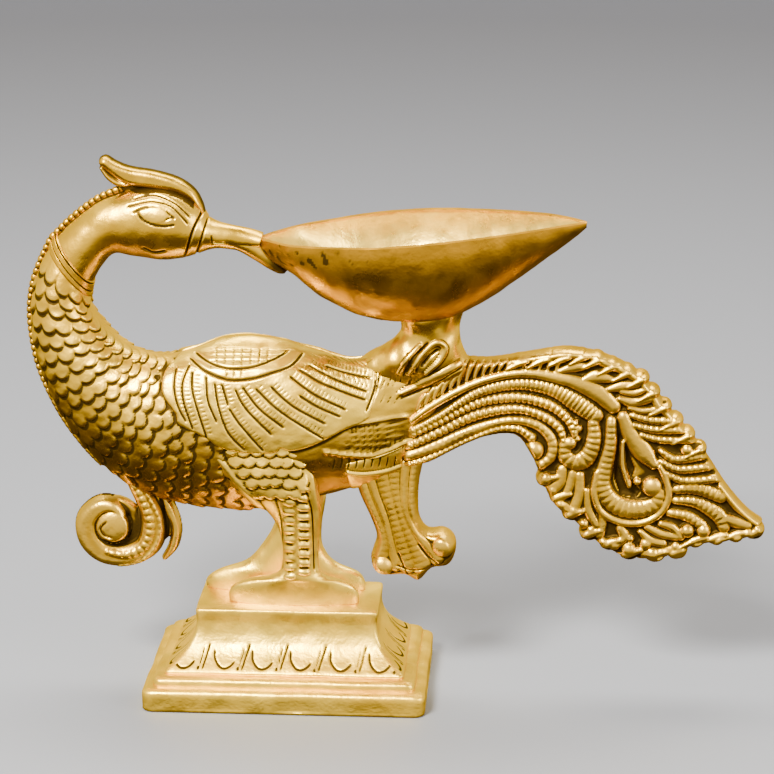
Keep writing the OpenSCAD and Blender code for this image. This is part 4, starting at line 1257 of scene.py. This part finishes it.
def chase_leg(relief):
    # Rows of scales down the thigh, and the rib along its edge.
    for row in range(5):
        for k in range(6):
            x = -16 + 3.5 * k + 1.75 * (row % 2) + rng.normal(0, 0.25)
            z = 67.6 - 3 * row + rng.normal(0, 0.2)
            relief.scale(x, z, (0.26, -0.96), 2.05, 0.75)
    relief.rib([[-22.4, 69, 0.8], [-15, 59, 1], [-10, 53, 1.1], [-6.4, 48, 0.9]], 0.9)

    # Two columns of knobs down the shank, between a rib and two lines.
    for k in range(10):
        z = 56.4 - 2.7 * k
        relief.ball(3.9, z, 0.98, 0.75, stretch=1.9)
        relief.ball(-0.1, z - 1.3, 0.95, 0.6, stretch=1.8)
    relief.rib([[6.4, 60, 0.5], [7.4, 50, 0.9], [8, 42, 1.1], [8.2, 33, 1.1]], 0.35)
    relief.groove([[4.6, 56], [6.2, 50], [6.6, 42], [6.8, 33]], 0.35, 0.6)
    relief.groove([[-4, 54], [-2.6, 48], [-2.2, 40], [-2.2, 33]], 0.3, 0.3)


def leg(side):
    rows = NEAR_LEG_ROWS if side == NEAR else FAR_LEG_ROWS
    line = smooth(rows, 14)
    angles = ring_angles(200)
    height, middle, half_x, half_y, out = (line[:, k:k + 1] for k in range(5))
    x = middle + half_x * np.cos(angles)
    y = side * (LEG_Y + out + half_y * np.sin(angles))
    grid = np.stack([x, y, height + 0 * angles], -1)
    normal = normals(grid, True)
    relief = Relief(*on_drawing(grid))
    chase_leg(relief)
    outer = np.clip(3 * np.sin(angles), 0, 1)
    cavity = 0.8 * relief.cavity(2, True) * outer
    rings = grid + normal * (relief.h * outer)[..., None]
    name = "near_leg" if side == NEAR else "far_leg"
    place_piece(name + "_casting", solid_of_rings(rings, cavity), leg_brass, name)


# ---- Plinth ----

# Stretches of the plinth's side from the table up, each [height, half width] and smooth by
# itself, with the radius of their corners: the slab, the step, and the flare up to the deck.
PLINTH_SIDE = [
    (3, [[0, 38.2], [0.5, 38.8], [2.6, 38.95], [4.8, 39], [5.8, 38.7], [6.4, 37.8]]),
    (2.4, [[6.5, 36.2], [7.4, 36.2], [8.3, 35.9], [8.9, 35]]),
    (1.3, [[9, 32.9], [9.6, 33], [10.4, 32.3], [11.6, 30.8], [13.4, 28.7], [15.4, 27], [17.2, 26.1],
      [19, 25.5], [21.6, 25.2], [24.2, 25.4], [25.1, 25.3], [DECK, 24.9]]),
]
# The hollow under it, from its top down to the table: height, half width, corner radius.
PLINTH_HOLLOW = [[22.4, 22, 1], [16, 23, 1], [9, 29.6, 1], [7, 32.6, 2], [6, 34.6, 2], [0, 35.2, 2]]
PLINTH_NARROWER = 12.5
# How many points lie along each side of a ring that runs with x, with y, and in each corner.
ALONG_X = 170
ALONG_Y = 110
IN_CORNER = 5


def plinth_profile():
    """Steps up the plinth's side: height, half width and corner radius."""
    stretches = []
    for radius, rows in PLINTH_SIDE:
        line = smooth(rows, 6)
        stretches.append(np.column_stack([line, np.full(len(line), radius)]))
    return np.vstack(stretches)


def rectangle(half_x, half_y, r):
    """A rectangle with round corners: sides with x, then y, with a corner after each."""
    straight_x = np.linspace(-1, 1, ALONG_X)
    straight_y = np.linspace(-1, 1, ALONG_Y)
    turn = np.linspace(0, 90, IN_CORNER + 2)[1:-1] * DEG
    px = half_x - r
    py = half_y - r
    sides = [
        (px * straight_x, -half_y + 0 * straight_x), (px + r * np.sin(turn), -py - r * np.cos(turn)),
        (half_x + 0 * straight_y, py * straight_y), (px + r * np.cos(turn), py + r * np.sin(turn)),
        (-px * straight_x, half_y + 0 * straight_x), (-px - r * np.sin(turn), py + r * np.cos(turn)),
        (-half_x + 0 * straight_y, -py * straight_y), (-px - r * np.cos(turn), -py - r * np.sin(turn)),
    ]
    return np.concatenate([side[0] for side in sides]), np.concatenate([side[1] for side in sides])


def straight_sides():
    """The columns of a ring's four straight sides: two with x, then two with y."""
    edges = np.cumsum([0] + 2 * [ALONG_X, IN_CORNER, ALONG_Y, IN_CORNER])
    return [slice(edges[k], edges[k + 1]) for k in (0, 4, 2, 6)]


def chase_petals(relief):
    """A row of petals above the step, with two cuts and a dot between them."""
    for k in range(-2, 4):
        c = -6 + 11 * k + rng.normal(0, 0.5)
        petal = [[c - 3.1, 14.4], [c - 2.9, 12.4], [c - 1.5, 10.9], [c, 10.5], [c + 1.6, 11], [c + 2.8, 12]]
        relief.groove(petal, 0.5, 0.5)
        relief.groove([[c + 6.8, 15.8], [c + 5, 10.4]], 0.45, 0.45, steps=2)
        relief.groove([[c + 5.4, 15], [c + 4.2, 11]], 0.35, 0.3, steps=2)
        relief.pit(c + 3.9, 10.6, 0.5, 0.3)


def plinth():
    rings = []
    for z, half, radius in PLINTH_HOLLOW + plinth_profile().tolist():
        px, py = rectangle(half, half - PLINTH_NARROWER, radius)
        rings.append(np.stack([px, py, z + 0 * px], -1))
    rings = np.array(rings)
    hidden = len(PLINTH_HOLLOW)
    outer = rings[hidden:]

    # Every straight side is chased as one flat drawing. Its corners stay plain.
    far_off = 90.0
    place = np.full(outer.shape[:2], far_off)
    sides = straight_sides()
    for side in sides[:2]:
        place[:, side] = outer[:, side, 0] * np.sign(-outer[:, side, 1])
    for side in sides[2:]:
        place[:, side] = outer[:, side, 1] * np.sign(outer[:, side, 0])
    relief = Relief(place, outer[..., 2])
    chase_petals(relief)
    chased = relief.cavity(2)
    h = np.zeros(rings.shape[:2])
    cavity = np.zeros(rings.shape[:2])
    for side in sides:
        h[hidden:, side] = relief.h[:, side]
        cavity[hidden:, side] = chased[:, side]

    # Broken lines of painted shade where one step meets the next.
    for step_z in (6.5, 9):
        line_breaks = ripple(outer * [1, 1, 0], 16, int(step_z * 10))
        line = np.exp(-(((outer[..., 2] - step_z) / 0.2) ** 2))
        cavity[hidden:] += line * np.clip(0.06 + 0.25 * line_breaks, 0, 0.3)

    # It is cast a little uneven, and only ever inwards.
    lean = rings - [0, 0, 14]
    lean /= np.linalg.norm(lean, axis=-1, keepdims=True)
    wave = np.minimum(0.14 * ripple(rings, 13, 41) - 0.16, -0.03)
    rings = rings + lean * (h + wave * (rings[..., 2] > 1))[..., None]
    solid = solid_of_rings(rings, cavity)
    place_piece("plinth_casting", solid, plinth_brass, "plinth", sharp=38)


# ---- The lamp, in the order that its random unevenness is drawn ----

plinth()
leg(NEAR)
leg(FAR)
body()
wing(NEAR)
wing(FAR)
head()
collar()
beading()
crest()
breast_scroll()
rump_band()
tail()
plume()
stem()
bowl()

# Screws and washers keep their CAD shape.
screw_steel = steel("screw_steel")
for node in ("leg_screws", "leg_washers"):
    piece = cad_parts[node]
    piece.data.materials.clear()
    piece.data.materials.append(screw_steel)

# ---- Studio: lengths in metres ----

WARM = (1, 0.85, 0.52)
PAPER = (0.2, 0.238, 0.4)
# The backdrop's floor and the wall that it curves up into, as radius and height.
BACKDROP = np.array([[1.3, 0], [1.65, 0.06], [1.9, 0.3], [2, 0.7], [2, 3]])
# The colours that the brass mirrors, from straight down at 0 to straight up at 1.
SKY = [
    (0.22, (0.1, 0.07, 0.025)), (0.29, (0.36, 0.28, 0.14)), (0.35, (0.9, 0.75, 0.45)),
    (0.5, (0.82, 0.68, 0.41)), (0.62, (0.85, 0.71, 0.45)), (0.8, (1, 0.86, 0.57)),
    (0.96, (0.4, 0.3, 0.15)),
]
SKY_STRENGTH = 1.4


def backdrop():
    """A round sheet of paper, curved up all round. The brass doesn't mirror it, and it throws no
    shadow."""
    floor = bpy.data.meshes.new("floor")
    sides = 96
    turn = ring_angles(sides)
    radius = BACKDROP[:, :1]
    height = BACKDROP[:, 1:]
    rings = np.stack([radius * np.cos(turn), radius * np.sin(turn), height + 0 * turn], -1)
    points = np.vstack([[[0, 0, 0]], rings.reshape(-1, 3)])
    middle = [[0, 1 + k, 1 + (k + 1) % sides] for k in range(sides)]
    floor.from_pydata(points.tolist(), [], tube_faces(len(BACKDROP), sides, 1) + middle)
    floor.shade_smooth()
    sweep = bpy.data.objects.new("floor", floor)
    bpy.context.scene.collection.objects.link(sweep)
    paper = bpy.data.materials.new("paper")
    paper.use_nodes = True
    shader = paper.node_tree.nodes["Principled BSDF"]
    shader.inputs["Base Color"].default_value = (*PAPER, 1)
    shader.inputs["Roughness"].default_value = 0.6
    floor.materials.append(paper)
    sweep.visible_glossy = False
    sweep.visible_shadow = False
    return sweep


def area_light(name, place, target, size, power):
    light = bpy.data.lights.new(name, "AREA")
    light.shape = "RECTANGLE"
    light.size, light.size_y = size
    light.energy = power
    light.color = WARM
    lamp = bpy.data.objects.new(name, light)
    bpy.context.scene.collection.objects.link(lamp)
    lamp.location = place
    lamp.rotation_euler = (Vector(target) - Vector(place)).to_track_quat("-Z", "Y").to_euler()
    return lamp


def sky():
    """A warm room for the brass to mirror: dark below, bright from the horizon up and dim
    overhead. Behind the lamp the dark floor reaches a little higher."""
    world = bpy.data.worlds.new("studio")
    world.use_nodes = True
    nodes = world.node_tree.nodes
    link = world.node_tree.links.new
    direction = nodes.new("ShaderNodeTexCoord")
    split = nodes.new("ShaderNodeSeparateXYZ")
    link(direction.outputs["Generated"], split.inputs["Vector"])
    height = nodes.new("ShaderNodeMapRange")
    height.inputs["From Min"].default_value = -1
    link(split.outputs["Z"], height.inputs["Value"])
    behind = nodes.new("ShaderNodeMapRange")
    behind.inputs["From Max"].default_value = 0.7
    behind.inputs["To Max"].default_value = 0.07
    link(split.outputs["Y"], behind.inputs["Value"])
    lowered = nodes.new("ShaderNodeMath")
    lowered.operation = "SUBTRACT"
    link(height.outputs["Result"], lowered.inputs[0])
    link(behind.outputs["Result"], lowered.inputs[1])
    shades = nodes.new("ShaderNodeValToRGB")
    link(lowered.outputs[0], shades.inputs["Fac"])
    stops = shades.color_ramp.elements
    for position, _ in SKY[1:-1]:
        stops.new(position)
    for stop, (position, colour) in zip(stops, SKY):
        stop.position = position
        stop.color = (*colour, 1)
    link(shades.outputs["Color"], nodes["Background"].inputs["Color"])
    nodes["Background"].inputs["Strength"].default_value = SKY_STRENGTH
    return world


def studio():
    backdrop()
    area_light("key", (-0.35, -0.7, 0.85), (0, 0, 0.08), (0.35, 0.3), 54)
    area_light("fill", (0.9, -0.5, 0.5), (0.03, 0, 0.08), (0.3, 0.6), 9)
    area_light("top", (0.05, 0.3, 0.9), (0.03, 0, 0.08), (0.8, 0.3), 15)
    bpy.context.scene.world = sky()


def photo_camera():
    """A camera at VIEW, where the photo's own camera is taken to have stood."""
    camera = bpy.data.cameras.new("camera")
    camera.sensor_width = 36
    camera.lens = 125.6
    camera.clip_start = 0.01
    eye = bpy.data.objects.new("camera", camera)
    bpy.context.scene.collection.objects.link(eye)
    eye.location = VIEW * MM
    aim = Vector((-0.0587, 0.9604, -0.2723))
    eye.rotation_euler = aim.to_track_quat("-Z", "Y").to_euler()
    bpy.context.scene.camera = eye


studio()
photo_camera()
